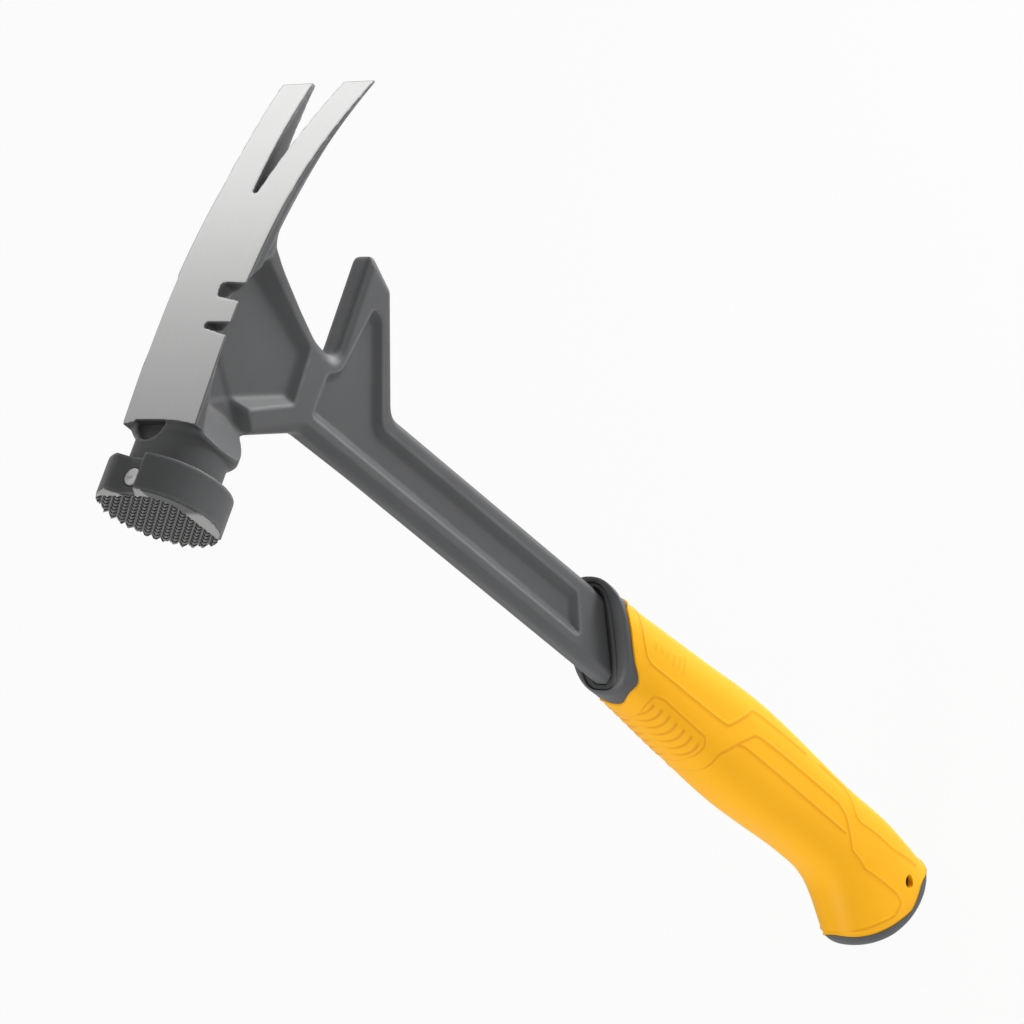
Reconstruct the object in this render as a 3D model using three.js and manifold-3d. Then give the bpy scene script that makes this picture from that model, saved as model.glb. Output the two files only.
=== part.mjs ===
// Demolition claw hammer: a one-piece forged head, shank and tang with a moulded grip.
// Millimetres. +Z runs up the handle to the head, the claw points to +X, the strike face
// to -X, and the two nail-puller notches open on the -Y side. The butt stands at Z = 0.

import * as THREE from 'three';
import { mergeVertices } from 'three/addons/utils/BufferGeometryUtils.js';
import Module from 'manifold-3d';

const wasm = await Module();
wasm.setup();

// Fits
const FIT = 0.3; // gap between two pieces that touch
const OVERRUN = 20; // how far a cutting shape reaches past what it cuts
const WELD = 0.01; // edges shorter than this are closed up
const ROOM = 0.48; // share of a side that a rounded corner may take

// Strap: the flat top of the head, from the poll to the claw tips
const STRAP_HEIGHT = 410; // strap's front edge above the butt
const STRAP_WIDTH = 28.5;
const STRAP_FRONT = 38; // shank axis to the strap's front edge
const STRAP_EDGE = 5.2; // side wall at the front
const STRAP_UNDERCUT = 1.6; // slope of the underside, from the side wall in to the web
const CREST_X = -6; // highest point of the strap
const CROWN_RADIUS = 640; // fall from the crest to the front edge

// Claw
const CLAW_REACH = 87; // shank axis to the claw tips
const CLAW_RADIUS = 254; // fall from the crest to the tips
const CLAW_SPREAD = 36.6; // width across the tips
const CLAW_FLARE_X = 34; // where the sides begin to flare
const CLAW_ROOT_DEPTH = 10.1; // thickness where the web ends
const CLAW_TIP_DEPTH = 1.6;
const CLAW_TIP_EDGE = 0.9;
const CLAW_TIP_RIDGE = 30; // width of the thick underside at the tips
const SLOT_APEX_X = 41.5; // closed end of the nail slot
const SLOT_MOUTH = 12;
const SLOT_APEX_WIDTH = 2.4;

// Nail-puller notches in one long edge of the strap
const NOTCH_DEPTH = 9.8;
const NOTCH_LEAN = 1.3; // how far the notches lean towards the claw
const WIDE_NOTCH_X = 5.4;
const WIDE_NOTCH_MOUTH = 6;
const WIDE_NOTCH_END = 4.6;
const NARROW_NOTCH_X = -6.8;
const NARROW_NOTCH_MOUTH = 4.2;
const NARROW_NOTCH_END = 1.8;

// Poll: neck, flange and knurled strike face, turned about an axis along X
const POLL_AXIS_DROP = 12.8; // strap's front edge down to the poll axis
const POLL_REACH = 62; // shank axis to the tips of the teeth
const FACE_DIAMETER = 38.4;
const FACE_RIM_BREAK = 1.5; // chamfer round the strike face, along the axis
const FLANGE_LENGTH = 12.2;
const FLANGE_BREAK = 1; // chamfer on the flange's rear rim
const WAIST_DIAMETER = 28;
const WAIST_LENGTH = 4.4;
const NECK_DIAMETER = 31.5;
const NECK_END = 33; // shank axis to the neck's rear end
const TOOTH_PITCH = 2.85;
const TOOTH_DEPTH = 1.4;
const TOOTH_FIELD = 33; // side of the square that holds the teeth

// Nail starter: groove and magnet in the flange, pocket for the nail's head in the strap
const GROOVE_WIDTH = 8;
const GROOVE_DEPTH = 5;
const MAGNET_DIAMETER = 5.5;
const MAGNET_LENGTH = 5;
const MAGNET_SINK = 0.2; // magnet's top below the floor of the groove
const MAGNET_SETBACK = 5.6; // tips of the teeth to the magnet's axis
const POCKET_RADIUS = 5.8;
const POCKET_DEPTH = 3.6;
const POCKET_SETBACK = 1.6; // strap's front edge back to the wall of the pocket

// Web, board jaw and shank: one forged plate
const SHANK_WIDTH = 21.4;
const SHANK_THICKNESS = 9;
const EDGE_BREAK = 1.1; // chamfer on the plate's edges
const WEB_THICKNESS = 13; // over the rim, under the strap
const WEB_FLARE = 4.5; // radius where the web meets the strap
const WEB_REAR_X = 13; // web's edge above the jaw
const WEB_CLAW_X = 31; // web's edge where it meets the claw
const WEB_HOLLOW_X = 20.8; // web's edge in the hollow between the jaw and the claw
const WEB_HOLLOW_DROP = 26; // strap down to that hollow
const WEB_HOLLOW_RADIUS = 40;
const WEB_FOOT_RADIUS = 14; // web's edge where it turns up from the jaw
const WEB_FLOOR_THICKNESS = 4; // between the two pockets
const GUSSET_DROP = 55; // strap down to the end of the gusset on the shank
const GUSSET_LEAN = 60; // degrees from level
const GUSSET_RADIUS = 8; // where the gusset runs out into the shank
const JAW_DROP = 56.3; // strap down to the jaw's gripping face
const JAW_TIP_X = 50.6;
const JAW_TIP_RADIUS = 1.5;
const JAW_ROOT_DROP = 87.5; // strap down to the jaw's root on the shank
const JAW_SHOULDER_X = 44.9; // outer corner below the tip
const JAW_SHOULDER_DROP = 68.3;
const JAW_SHOULDER_RADIUS = 3;
const JAW_ROOT_RADIUS = 6;
const JAW_THROAT_RADIUS = 4.5;

// Pressed panels
const PANEL_DRAFT = 2.4; // slope of the panel walls, measured sideways
const PANEL_CORNER = 1.6;
const RIM_WIDTH = 5.2; // land left along the gusset
const WEB_REAR_LAND = 4.1; // land left along the web's rear edge
const WEB_CLAW_LAND = 6; // land left where the web meets the claw
const WEB_FOOT_LAND = 1; // web panel's foot in from the shank's face edge
const WEB_SHOULDER_DROP = 11; // strap down to where the web panel's rear wall turns
const SHANK_LAND = 4.2; // land left along the shank and the jaw's gripping face
const JAW_TIP_LAND = 13.6; // jaw's tip back to the panel
const JAW_SHOULDER_LAND = 9.6; // jaw's shoulder back to the panel
const SHANK_FLOOR_THICKNESS = 4.4;
const BRIDGE_DROP = 41; // strap down to the rib between the two panels
const BRIDGE_WIDTH = 14;
const PANEL_END_GAP = 15; // shank panel's end to the collar, along the axis

// Tang
const TANG_WIDTH = 15;
const TANG_END = 46; // tang's end above the butt
const TANG_END_RADIUS = 3.6;
const TANG_SHOULDER_GAP = 34; // collar down to where the shank narrows
const TANG_HOLE_DIAMETER = 7;
const TANG_HOLE_COUNT = 3;
const TANG_HOLE_SPACING = 32;
const TANG_HOLE_FIRST = 20; // tang's end up to the first hole

// Grip: two edges in the XZ plane, seven stations from the collar's lip to the butt
const LIP_HEIGHT = 200; // collar's lip on the shank axis
const LIP_SLOPE = 0.62; // rise of the lip per millimetre towards the claw
const LIP_WIDTH = 29;
const LIP_THICKNESS = 23.6;
const NECK_HEIGHT = 184;
const NECK_SLOPE = 0.5;
const NECK_WIDTH = 30.2;
const NECK_THICKNESS = 25.4;
const UPPER_HEIGHT = 150;
const UPPER_SLOPE = 0.3;
const UPPER_WIDTH = 34;
const UPPER_THICKNESS = 26.4;
const SWELL_HEIGHT = 114;
const SWELL_SLOPE = 0.12;
const SWELL_WIDTH = 35.6;
const SWELL_THICKNESS = 27.6;
const WAIST_HEIGHT = 68;
const WAIST_SLOPE = -0.3;
const WAIST_WIDTH = 30.4;
const WAIST_SHIFT = -1.3; // middle of the waist from the shank axis
const GRIP_WAIST_THICKNESS = 25.6;
const FLARE_HEIGHT = 44;
const FLARE_SLOPE = -0.6;
const FLARE_WIDTH = 30.7;
const FLARE_SHIFT = -2.4;
const FLARE_THICKNESS = 25.4;
const BUTT_HEIGHT = 21.2;
const BUTT_SLOPE = -0.86;
const BUTT_WIDTH = 39.2;
const BUTT_SHIFT = -9.2;
const BUTT_THICKNESS = 25.4;
const BUTT_DOME = 13.4; // bulge of the butt past its last station
const DOME_END = 84; // degrees of the bulge's arc that are drawn
const DOME_FULLNESS = 0.5; // exponent of the bulge across its thickness
const GRIP_SQUARENESS = 2.4; // exponent of the oval section: 2 is an ellipse

// Grip pieces
const COLLAR_LENGTH = 7; // along the shank axis
const COLLAR_SLOPE = 0.4; // rise of its lower end per millimetre towards the claw
const LIP_BREAK = 1.8; // chamfer round the collar's lip
const NOSE_WALL = 2.4; // grip core round the shank, seen as a ring inside the collar
const NOSE_SETBACK = 1; // core's nose below the collar's lip
const SKIN_THICKNESS = 3.4;
const CAP_THICKNESS = 8;
const CAP_OVERHANG = 0.5; // how much wider the cap's seat is than the butt
const LANYARD_BORE = 4;
const LANYARD_WALL = 0.9;
const LANYARD_X = -2.4;
const LANYARD_HEIGHT = 21.5;
const LANYARD_SINK = 0.8; // bush's ends below the grip's surface

// Fineness of the round forms
const ROUND_STEPS = 48;
const RING_STEPS = 26;
const GRIP_STEPS = 24;
const DOME_STEPS = 6;
const STRAP_STEPS = 16;
const CORNER_STEPS = 5;
const POCKET_STEPS = 12;

const { degToRad, lerp, clamp } = THREE.MathUtils;
const point = (x, y) => new THREE.Vector2(x, y);

// Solid from a closed geometry
function solid(geometry) {
  const bare = geometry.index ? geometry.toNonIndexed() : geometry.clone();
  bare.deleteAttribute('normal');
  bare.deleteAttribute('uv');
  const merged = mergeVertices(bare, 1e-4);
  const vertProperties = new Float32Array(merged.attributes.position.array);
  const triVerts = new Uint32Array(merged.index.array);
  return new wasm.Manifold(new wasm.Mesh({ numProp: 3, vertProperties, triVerts }));
}

// Geometry of a finished solid
function geometryOf(body) {
  const mesh = body.asOriginal().simplify(WELD).getMesh();
  const geometry = new THREE.BufferGeometry();
  geometry.setAttribute('position', new THREE.BufferAttribute(mesh.vertProperties, 3));
  geometry.setIndex(new THREE.BufferAttribute(mesh.triVerts, 1));
  geometry.computeVertexNormals();
  return geometry;
}

// Outline with rounded corners: each corner is [x, y] or [x, y, radius]
function rounded(corners) {
  const points = [];
  corners.forEach(([x, y, radius = 0], i) => {
    const corner = point(x, y);
    const before = point(...corners.at(i - 1).slice(0, 2)).sub(corner);
    const after = point(...corners[(i + 1) % corners.length].slice(0, 2)).sub(corner);
    const half = Math.acos(clamp(before.dot(after) / before.length() / after.length(), -1, 1)) / 2;
    const room = ROOM * Math.min(before.length(), after.length());
    const run = Math.min(radius / Math.tan(half), room);
    if (run < WELD) {
      points.push(corner);
      return;
    }
    const start = corner.clone().addScaledVector(before.normalize(), run);
    const end = corner.clone().addScaledVector(after.normalize(), run);
    const bend = new THREE.QuadraticBezierCurve(start, corner, end);
    points.push(...bend.getPoints(CORNER_STEPS));
  });
  return points;
}

// Corners of an outline moved inwards, each side by the same distance
function inset(corners, distance) {
  const turn = Math.sign(THREE.ShapeUtils.area(corners.map(([x, y]) => point(x, y))));
  return corners.map(([x, y, radius = 0], i) => {
    const corner = point(x, y);
    const before = corner.clone().sub(point(...corners.at(i - 1).slice(0, 2))).normalize();
    const after = point(...corners[(i + 1) % corners.length].slice(0, 2)).sub(corner).normalize();
    const normal = point(-before.y - after.y, before.x + after.x).multiplyScalar(turn);
    const reach = distance * 2 / normal.lengthSq();
    return [x + normal.x * reach, y + normal.y * reach, radius];
  });
}

// Plate with its outline in the XZ plane, centred on Y = 0
function plate(outline, thickness) {
  const shape = new THREE.Shape(outline);
  const geometry = new THREE.ExtrudeGeometry(shape, { depth: thickness, bevelEnabled: false });
  geometry.translate(0, 0, -thickness / 2);
  return solid(geometry.rotateX(Math.PI / 2));
}

// Plate with its corners in the XZ plane and a chamfer along all its edges
function chamferedPlate(corners, thickness, chamfer) {
  const ring = (outline, y) => rounded(outline).map((p) => new THREE.Vector3(p.x, y, p.y));
  const face = inset(corners, chamfer);
  const half = thickness / 2;
  const straight = half - chamfer;
  return loft([ring(face, -half), ring(corners, -straight), ring(corners, straight), ring(face, half)]);
}

// Prism with its outline in the XY plane, from a low to a high level
function column(outline, low, high) {
  const shape = new THREE.Shape(outline);
  const geometry = new THREE.ExtrudeGeometry(shape, { depth: high - low, bevelEnabled: false });
  return solid(geometry.translate(0, 0, low));
}

// Bar with its outline in the YZ plane, from a low to a high X
function bar(outline, low, high) {
  const shape = new THREE.Shape(outline);
  const geometry = new THREE.ExtrudeGeometry(shape, { depth: high - low, bevelEnabled: false });
  geometry.rotateX(Math.PI / 2).rotateZ(Math.PI / 2);
  return solid(geometry.translate(low, 0, 0));
}

// Solid through a row of rings with equal counts of points, closed at both ends
function loft(rings) {
  const count = rings[0].length;
  const positions = rings.flat().flatMap((p) => [p.x, p.y, p.z]);
  const index = [];
  for (let r = 0; r + 1 < rings.length; r += 1) {
    for (let i = 0; i < count; i += 1) {
      const a = r * count + i;
      const b = r * count + (i + 1) % count;
      index.push(a, b, b + count, a, b + count, a + count);
    }
  }
  const caps = [[rings[0], 0, true], [rings.at(-1), (rings.length - 1) * count, false]];
  for (const [ring, first, turned] of caps) {
    for (const [a, b, c] of THREE.ShapeUtils.triangulateShape(flattened(ring), [])) {
      index.push(first + a, first + (turned ? c : b), first + (turned ? b : c));
    }
  }
  const geometry = new THREE.BufferGeometry();
  geometry.setAttribute('position', new THREE.Float32BufferAttribute(positions, 3));
  geometry.setIndex(index);
  const body = solid(geometry);
  return body.volume() > 0 ? body : solid(turnedOver(geometry));
}

// A ring seen in its own plane, for closing it
function flattened(ring) {
  const middle = ring.reduce((sum, p) => sum.add(p), new THREE.Vector3()).divideScalar(ring.length);
  const right = ring[0].clone().sub(middle).normalize();
  const normal = new THREE.Vector3();
  ring.forEach((p, i) => {
    const next = ring[(i + 1) % ring.length];
    normal.add(p.clone().sub(middle).cross(next.clone().sub(middle)));
  });
  const up = normal.normalize().clone().cross(right);
  return ring.map((p) => point(p.clone().sub(middle).dot(right), p.clone().sub(middle).dot(up)));
}

function turnedOver(geometry) {
  const index = Array.from(geometry.index.array);
  for (let i = 0; i < index.length; i += 3) {
    [index[i], index[i + 1]] = [index[i + 1], index[i]];
  }
  geometry.setIndex(index);
  return geometry;
}

const joined = (bodies) => bodies.reduce((sum, body) => sum.add(body));

const FACE_RADIUS = FACE_DIAMETER / 2;
const POLL_AXIS = STRAP_HEIGHT - POLL_AXIS_DROP;
const GROOVE_FLOOR = POLL_AXIS + FACE_RADIUS - GROOVE_DEPTH;
const MAGNET_X = MAGNET_SETBACK - POLL_REACH;
const MAGNET_TOP = GROOVE_FLOOR - MAGNET_SINK;

// Height of the strap's top: two shallow arcs that meet level at the crest
function strapTop(x) {
  const radius = x < CREST_X ? CROWN_RADIUS : CLAW_RADIUS;
  const crest = STRAP_HEIGHT + (STRAP_FRONT + CREST_X) ** 2 / (2 * CROWN_RADIUS);
  return crest - (x - CREST_X) ** 2 / (2 * radius);
}

// Strap and claw: flat top, thin side walls and an underside that is thick along the middle
function strapAndClaw() {
  const rings = [];
  for (let i = 0; i <= STRAP_STEPS; i += 1) {
    const x = lerp(-STRAP_FRONT, CLAW_REACH, i / STRAP_STEPS);
    const along = (x + STRAP_FRONT) / (CLAW_REACH + STRAP_FRONT);
    const flare = THREE.MathUtils.smoothstep(x, CLAW_FLARE_X, 2 * CLAW_REACH - CLAW_FLARE_X) * 2;
    const tip = clamp((x - WEB_CLAW_X) / (CLAW_REACH - WEB_CLAW_X), 0, 1);
    const side = lerp(STRAP_WIDTH, CLAW_SPREAD, flare) / 2;
    const edge = lerp(STRAP_EDGE, CLAW_TIP_EDGE, along);
    const ridge = lerp(WEB_THICKNESS, CLAW_TIP_RIDGE, tip) / 2;
    const strapDepth = edge + STRAP_UNDERCUT;
    const clawDepth = lerp(CLAW_ROOT_DEPTH, CLAW_TIP_DEPTH, tip);
    const depth = x < WEB_REAR_X ? strapDepth : clawDepth;
    const top = strapTop(x);
    const profile = [
      [side, top], [side, top - edge], [ridge, top - depth],
      [-ridge, top - depth], [-side, top - edge], [-side, top],
    ];
    rings.push(profile.map(([y, z]) => new THREE.Vector3(x, y, z)));
  }
  return loft(rings);
}

// Nail slot: a narrow V with a rounded closed end
function nailSlot() {
  const end = CLAW_REACH + OVERRUN;
  const spread = (SLOT_MOUTH - SLOT_APEX_WIDTH) / (CLAW_REACH - SLOT_APEX_X);
  const mouth = SLOT_APEX_WIDTH / 2 + spread * (end - SLOT_APEX_X) / 2;
  const round = SLOT_APEX_WIDTH / 2;
  const outline = rounded([
    [SLOT_APEX_X, -round, round], [end, -mouth], [end, mouth], [SLOT_APEX_X, round, round],
  ]);
  return column(outline, STRAP_HEIGHT - 2 * OVERRUN, STRAP_HEIGHT + OVERRUN);
}

// Notch from the strap's -Y edge inwards, with a rounded end
function pullerNotch(x, mouth, end) {
  const edge = -STRAP_WIDTH / 2;
  const inner = edge + NOTCH_DEPTH;
  const outer = edge - OVERRUN;
  const round = end / 2;
  const outline = rounded([
    [x - mouth / 2, edge], [x - mouth / 2, outer], [x + mouth / 2, outer], [x + mouth / 2, edge],
    [x + NOTCH_LEAN + end / 2, inner, round], [x + NOTCH_LEAN - end / 2, inner, round],
  ]);
  return column(outline, STRAP_HEIGHT - OVERRUN, STRAP_HEIGHT + OVERRUN);
}

// Poll: a turned neck, waist and flange with a chamfered rim
function poll() {
  const face = POLL_REACH;
  const rear = POLL_REACH - FLANGE_LENGTH;
  const neck = NECK_DIAMETER / 2;
  const waist = WAIST_DIAMETER / 2;
  const step = neck - waist;
  const profile = [
    point(0, NECK_END), point(neck, NECK_END), point(neck, rear - WAIST_LENGTH - step),
    point(waist, rear - WAIST_LENGTH), point(waist, rear), point(FACE_RADIUS - FLANGE_BREAK, rear),
    point(FACE_RADIUS, rear + FLANGE_BREAK), point(FACE_RADIUS, face - FACE_RIM_BREAK),
    point(FACE_RADIUS - FACE_RIM_BREAK / 2, face), point(0, face),
  ];
  const turned = new THREE.LatheGeometry(profile, ROUND_STEPS).rotateZ(Math.PI / 2);
  const body = solid(turned.translate(0, 0, POLL_AXIS));
  const upright = body.volume() > 0 ? body : solid(turnedOver(mergeVertices(turned)));
  return upright.subtract(topFlat(rear)).subtract(toothGrooves());
}

// Flat on the neck, level with the strap's front edge
function topFlat(rear) {
  const half = FACE_DIAMETER;
  const outline = [point(-rear, -half), point(0, -half), point(0, half), point(-rear, half)];
  return column(outline, STRAP_HEIGHT, STRAP_HEIGHT + FACE_DIAMETER);
}

// Two crossing sets of V grooves leave square pyramids that stand on their corners
function toothGrooves() {
  const half = TOOTH_FIELD / 2;
  const floor = TOOTH_DEPTH - POLL_REACH;
  const reach = FACE_DIAMETER;
  const count = Math.ceil(FACE_RADIUS / TOOTH_PITCH);
  const slope = TOOTH_PITCH / 2 / TOOTH_DEPTH;
  const high = -POLL_REACH - TOOTH_DEPTH / 2;
  const wide = (floor - high) * slope;
  const grooves = [];
  for (const turn of [-1, 1]) {
    for (let i = -count; i <= count; i += 1) {
      const middle = i * TOOTH_PITCH;
      const vee = [point(floor, middle), point(high, middle - wide), point(high, middle + wide)];
      const prism = new THREE.ExtrudeGeometry(new THREE.Shape(vee), {
        depth: 2 * reach, bevelEnabled: false,
      });
      prism.translate(0, 0, -reach).rotateX(turn * Math.PI / 4);
      grooves.push(solid(prism.translate(0, 0, POLL_AXIS)));
    }
  }
  const square = [
    point(-half, POLL_AXIS - half), point(half, POLL_AXIS - half),
    point(half, POLL_AXIS + half), point(-half, POLL_AXIS + half),
  ];
  return joined(grooves).intersect(bar(square, high - 1, 0));
}

// Groove that holds a nail along the top of the flange
function nailGroove() {
  const half = GROOVE_WIDTH / 2;
  const top = POLL_AXIS + FACE_RADIUS + OVERRUN;
  const outline = rounded([
    [half, top], [-half, top], [-half, GROOVE_FLOOR, half], [half, GROOVE_FLOOR, half],
  ]);
  return bar(outline, -POLL_REACH - OVERRUN, -STRAP_FRONT);
}

// Half-round pocket behind the nail's head, with an upright wall in the strap's end
function headPocket() {
  const wall = POCKET_SETBACK - STRAP_FRONT;
  const arc = new THREE.Path().absarc(wall, 0, POCKET_RADIUS, Math.PI / 2, 1.5 * Math.PI);
  const outline = arc.getPoints(POCKET_STEPS);
  return column(outline, STRAP_HEIGHT - POCKET_DEPTH, STRAP_HEIGHT + OVERRUN);
}

// Upright round bar
function pin(x, y, radius, low, high) {
  const geometry = new THREE.CylinderGeometry(radius, radius, high - low, ROUND_STEPS / 2);
  geometry.rotateX(Math.PI / 2).translate(x, y, (low + high) / 2);
  return solid(geometry);
}

// Level round bar along Y
function crossPin(x, z, radius, length) {
  const geometry = new THREE.CylinderGeometry(radius, radius, length, ROUND_STEPS / 2);
  return solid(geometry.translate(x, 0, z));
}

const TANG_SHOULDER = LIP_HEIGHT - TANG_SHOULDER_GAP;
const SHANK_SIDE = SHANK_WIDTH / 2;
const GUSSET_RISE = Math.tan(degToRad(GUSSET_LEAN));

// Web, jaw, shank and tang seen from the side
function plateCorners() {
  const gussetTop = NECK_END - SHANK_SIDE;
  const tang = TANG_WIDTH / 2;
  const taper = SHANK_SIDE - tang;
  const down = (drop) => STRAP_HEIGHT - drop;
  return [
    [-NECK_END, down(STRAP_EDGE)],
    [-NECK_END, down(GUSSET_DROP) + gussetTop * GUSSET_RISE],
    [-SHANK_SIDE, down(GUSSET_DROP), GUSSET_RADIUS],
    [-SHANK_SIDE, TANG_SHOULDER],
    [-tang, TANG_SHOULDER - taper],
    [-tang, TANG_END, TANG_END_RADIUS],
    [tang, TANG_END, TANG_END_RADIUS],
    [tang, TANG_SHOULDER - taper],
    [SHANK_SIDE, TANG_SHOULDER],
    [SHANK_SIDE, down(JAW_ROOT_DROP), JAW_ROOT_RADIUS],
    [JAW_SHOULDER_X, down(JAW_SHOULDER_DROP), JAW_SHOULDER_RADIUS],
    [JAW_TIP_X, down(JAW_DROP), JAW_TIP_RADIUS],
    [WEB_REAR_X, down(JAW_DROP), JAW_THROAT_RADIUS],
    [WEB_REAR_X, down(BRIDGE_DROP), WEB_FOOT_RADIUS],
    [WEB_HOLLOW_X, down(WEB_HOLLOW_DROP), WEB_HOLLOW_RADIUS],
    [WEB_CLAW_X, strapTop(WEB_CLAW_X) - CLAW_ROOT_DEPTH + EDGE_BREAK],
    [WEB_CLAW_X, down(STRAP_EDGE)],
  ];
}

// Section of the web across the head: it thickens upwards and flares into the strap
function webSection() {
  const top = STRAP_HEIGHT - STRAP_EDGE / 2;
  const low = SHANK_THICKNESS / 2 - EDGE_BREAK;
  const high = WEB_THICKNESS / 2;
  const under = STRAP_HEIGHT - STRAP_EDGE - STRAP_UNDERCUT;
  const foot = STRAP_HEIGHT - JAW_DROP;
  const wide = high + WEB_FLARE;
  return rounded([
    [low, foot], [high, under - WEB_FLARE], [high, under, WEB_FLARE], [wide, under + FIT],
    [wide, top], [-wide, top], [-wide, under + FIT],
    [-high, under, WEB_FLARE], [-high, under - WEB_FLARE], [-low, foot],
  ]);
}

// Cutter for a pressed panel on one side: sloping walls up to the rim, upright beyond it
function panelCutter(corners, floor, rim, beyond, side) {
  const ring = (outline, y) => rounded(outline).map((p) => new THREE.Vector3(p.x, side * y, p.y));
  const low = inset(corners, PANEL_DRAFT);
  const soft = (outline, extra) => outline.map(([x, z]) => [x, z, PANEL_CORNER + extra]);
  return loft([
    ring(soft(low, 0), floor), ring(soft(corners, PANEL_DRAFT), rim),
    ring(soft(corners, PANEL_DRAFT), beyond),
  ]);
}

// Deep panel in the web, between the strap, the poll, the gusset and the jaw's throat
function webPanel(side) {
  const down = (drop) => STRAP_HEIGHT - drop;
  const gussetTop = NECK_END - SHANK_SIDE - RIM_WIDTH;
  const corners = [
    [-NECK_END, down(STRAP_EDGE + FIT)],
    [-NECK_END, down(GUSSET_DROP) + gussetTop * GUSSET_RISE + RIM_WIDTH],
    [WEB_FOOT_LAND - SHANK_SIDE, down(BRIDGE_DROP)],
    [WEB_REAR_X - WEB_REAR_LAND, down(BRIDGE_DROP)],
    [WEB_CLAW_X - WEB_CLAW_LAND, down(WEB_SHOULDER_DROP)],
    [WEB_CLAW_X - WEB_CLAW_LAND, down(STRAP_EDGE + FIT)],
  ];
  return panelCutter(corners, WEB_FLOOR_THICKNESS / 2, WEB_THICKNESS / 2, STRAP_WIDTH, side);
}

// Shallow panel down the shank, with an arm up the jaw and a sloping end above the collar
function shankPanel(side) {
  const down = (drop) => STRAP_HEIGHT - drop;
  const inner = SHANK_SIDE - SHANK_LAND;
  const end = LIP_HEIGHT + PANEL_END_GAP;
  const top = BRIDGE_DROP + BRIDGE_WIDTH;
  const corners = [
    [-inner, down(top)],
    [-inner, end - inner * LIP_SLOPE],
    [inner, end + inner * LIP_SLOPE],
    [inner, down(JAW_ROOT_DROP)],
    [JAW_SHOULDER_X - JAW_SHOULDER_LAND, down(JAW_SHOULDER_DROP)],
    [JAW_TIP_X - JAW_TIP_LAND, down(JAW_DROP + SHANK_LAND)],
    [WEB_REAR_X, down(JAW_DROP + SHANK_LAND)],
    [inner, down(top)],
  ];
  const rim = SHANK_THICKNESS / 2;
  return panelCutter(corners, SHANK_FLOOR_THICKNESS / 2, rim, rim + OVERRUN, side);
}

// Heights of the anchor holes in the tang
function tangHoles() {
  return Array.from({ length: TANG_HOLE_COUNT }, (_, i) => (
    TANG_END + TANG_HOLE_FIRST + i * TANG_HOLE_SPACING));
}

// Head, shank and tang forged in one
function forging() {
  const corners = plateCorners();
  const flared = plate(rounded(corners), STRAP_WIDTH)
    .intersect(bar(webSection(), -NECK_END - OVERRUN, WEB_CLAW_X + OVERRUN));
  const shank = chamferedPlate(corners, SHANK_THICKNESS, EDGE_BREAK);
  const blank = joined([shank, flared, strapAndClaw(), poll()]);
  const bore = MAGNET_DIAMETER / 2 + FIT;
  const cuts = [
    nailSlot(),
    pullerNotch(WIDE_NOTCH_X, WIDE_NOTCH_MOUTH, WIDE_NOTCH_END),
    pullerNotch(NARROW_NOTCH_X, NARROW_NOTCH_MOUTH, NARROW_NOTCH_END),
    nailGroove(),
    headPocket(),
    pin(MAGNET_X, 0, bore, MAGNET_TOP - MAGNET_LENGTH - FIT, GROOVE_FLOOR + OVERRUN),
    webPanel(-1), webPanel(1), shankPanel(-1), shankPanel(1),
    ...tangHoles().map((z) => crossPin(0, z, TANG_HOLE_DIAMETER / 2, SHANK_THICKNESS + OVERRUN)),
  ];
  return cuts.reduce((body, cut) => body.subtract(cut), blank);
}

function nailMagnet() {
  return pin(MAGNET_X, 0, MAGNET_DIAMETER / 2, MAGNET_TOP - MAGNET_LENGTH, MAGNET_TOP);
}

// Stations of the grip: middle, width and slope of each section, and its thickness
const station = (x, z, width, slope, thickness) => ({ x, z, width, slope, thickness });
const STATIONS = [
  station(0, LIP_HEIGHT, LIP_WIDTH, LIP_SLOPE, LIP_THICKNESS),
  station(0, NECK_HEIGHT, NECK_WIDTH, NECK_SLOPE, NECK_THICKNESS),
  station(0, UPPER_HEIGHT, UPPER_WIDTH, UPPER_SLOPE, UPPER_THICKNESS),
  station(0, SWELL_HEIGHT, SWELL_WIDTH, SWELL_SLOPE, SWELL_THICKNESS),
  station(WAIST_SHIFT, WAIST_HEIGHT, WAIST_WIDTH, WAIST_SLOPE, GRIP_WAIST_THICKNESS),
  station(FLARE_SHIFT, FLARE_HEIGHT, FLARE_WIDTH, FLARE_SLOPE, FLARE_THICKNESS),
  station(BUTT_SHIFT, BUTT_HEIGHT, BUTT_WIDTH, BUTT_SLOPE, BUTT_THICKNESS),
];
const edgeCurve = (sign) => new THREE.SplineCurve(STATIONS.map((s) => (
  point(s.x + sign * s.width / 2, s.z + sign * s.slope * s.width / 2))));
const CLAW_SIDE = edgeCurve(1);
const FACE_SIDE = edgeCurve(-1);
const THICKNESS = new THREE.SplineCurve(STATIONS.map((s, i) => point(i, s.thickness)));

// Oval ring between two points of the XZ plane
function oval(clawEnd, faceEnd, half) {
  const middle = clawEnd.clone().add(faceEnd).divideScalar(2);
  const arm = clawEnd.clone().sub(middle);
  const power = 2 / GRIP_SQUARENESS;
  return Array.from({ length: RING_STEPS }, (_, i) => {
    const angle = 2 * Math.PI * i / RING_STEPS;
    const c = Math.sign(Math.cos(angle)) * Math.abs(Math.cos(angle)) ** power;
    const s = Math.sign(Math.sin(angle)) * Math.abs(Math.sin(angle)) ** power;
    return new THREE.Vector3(middle.x + arm.x * c, half * s, middle.y + arm.y * c);
  });
}

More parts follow.
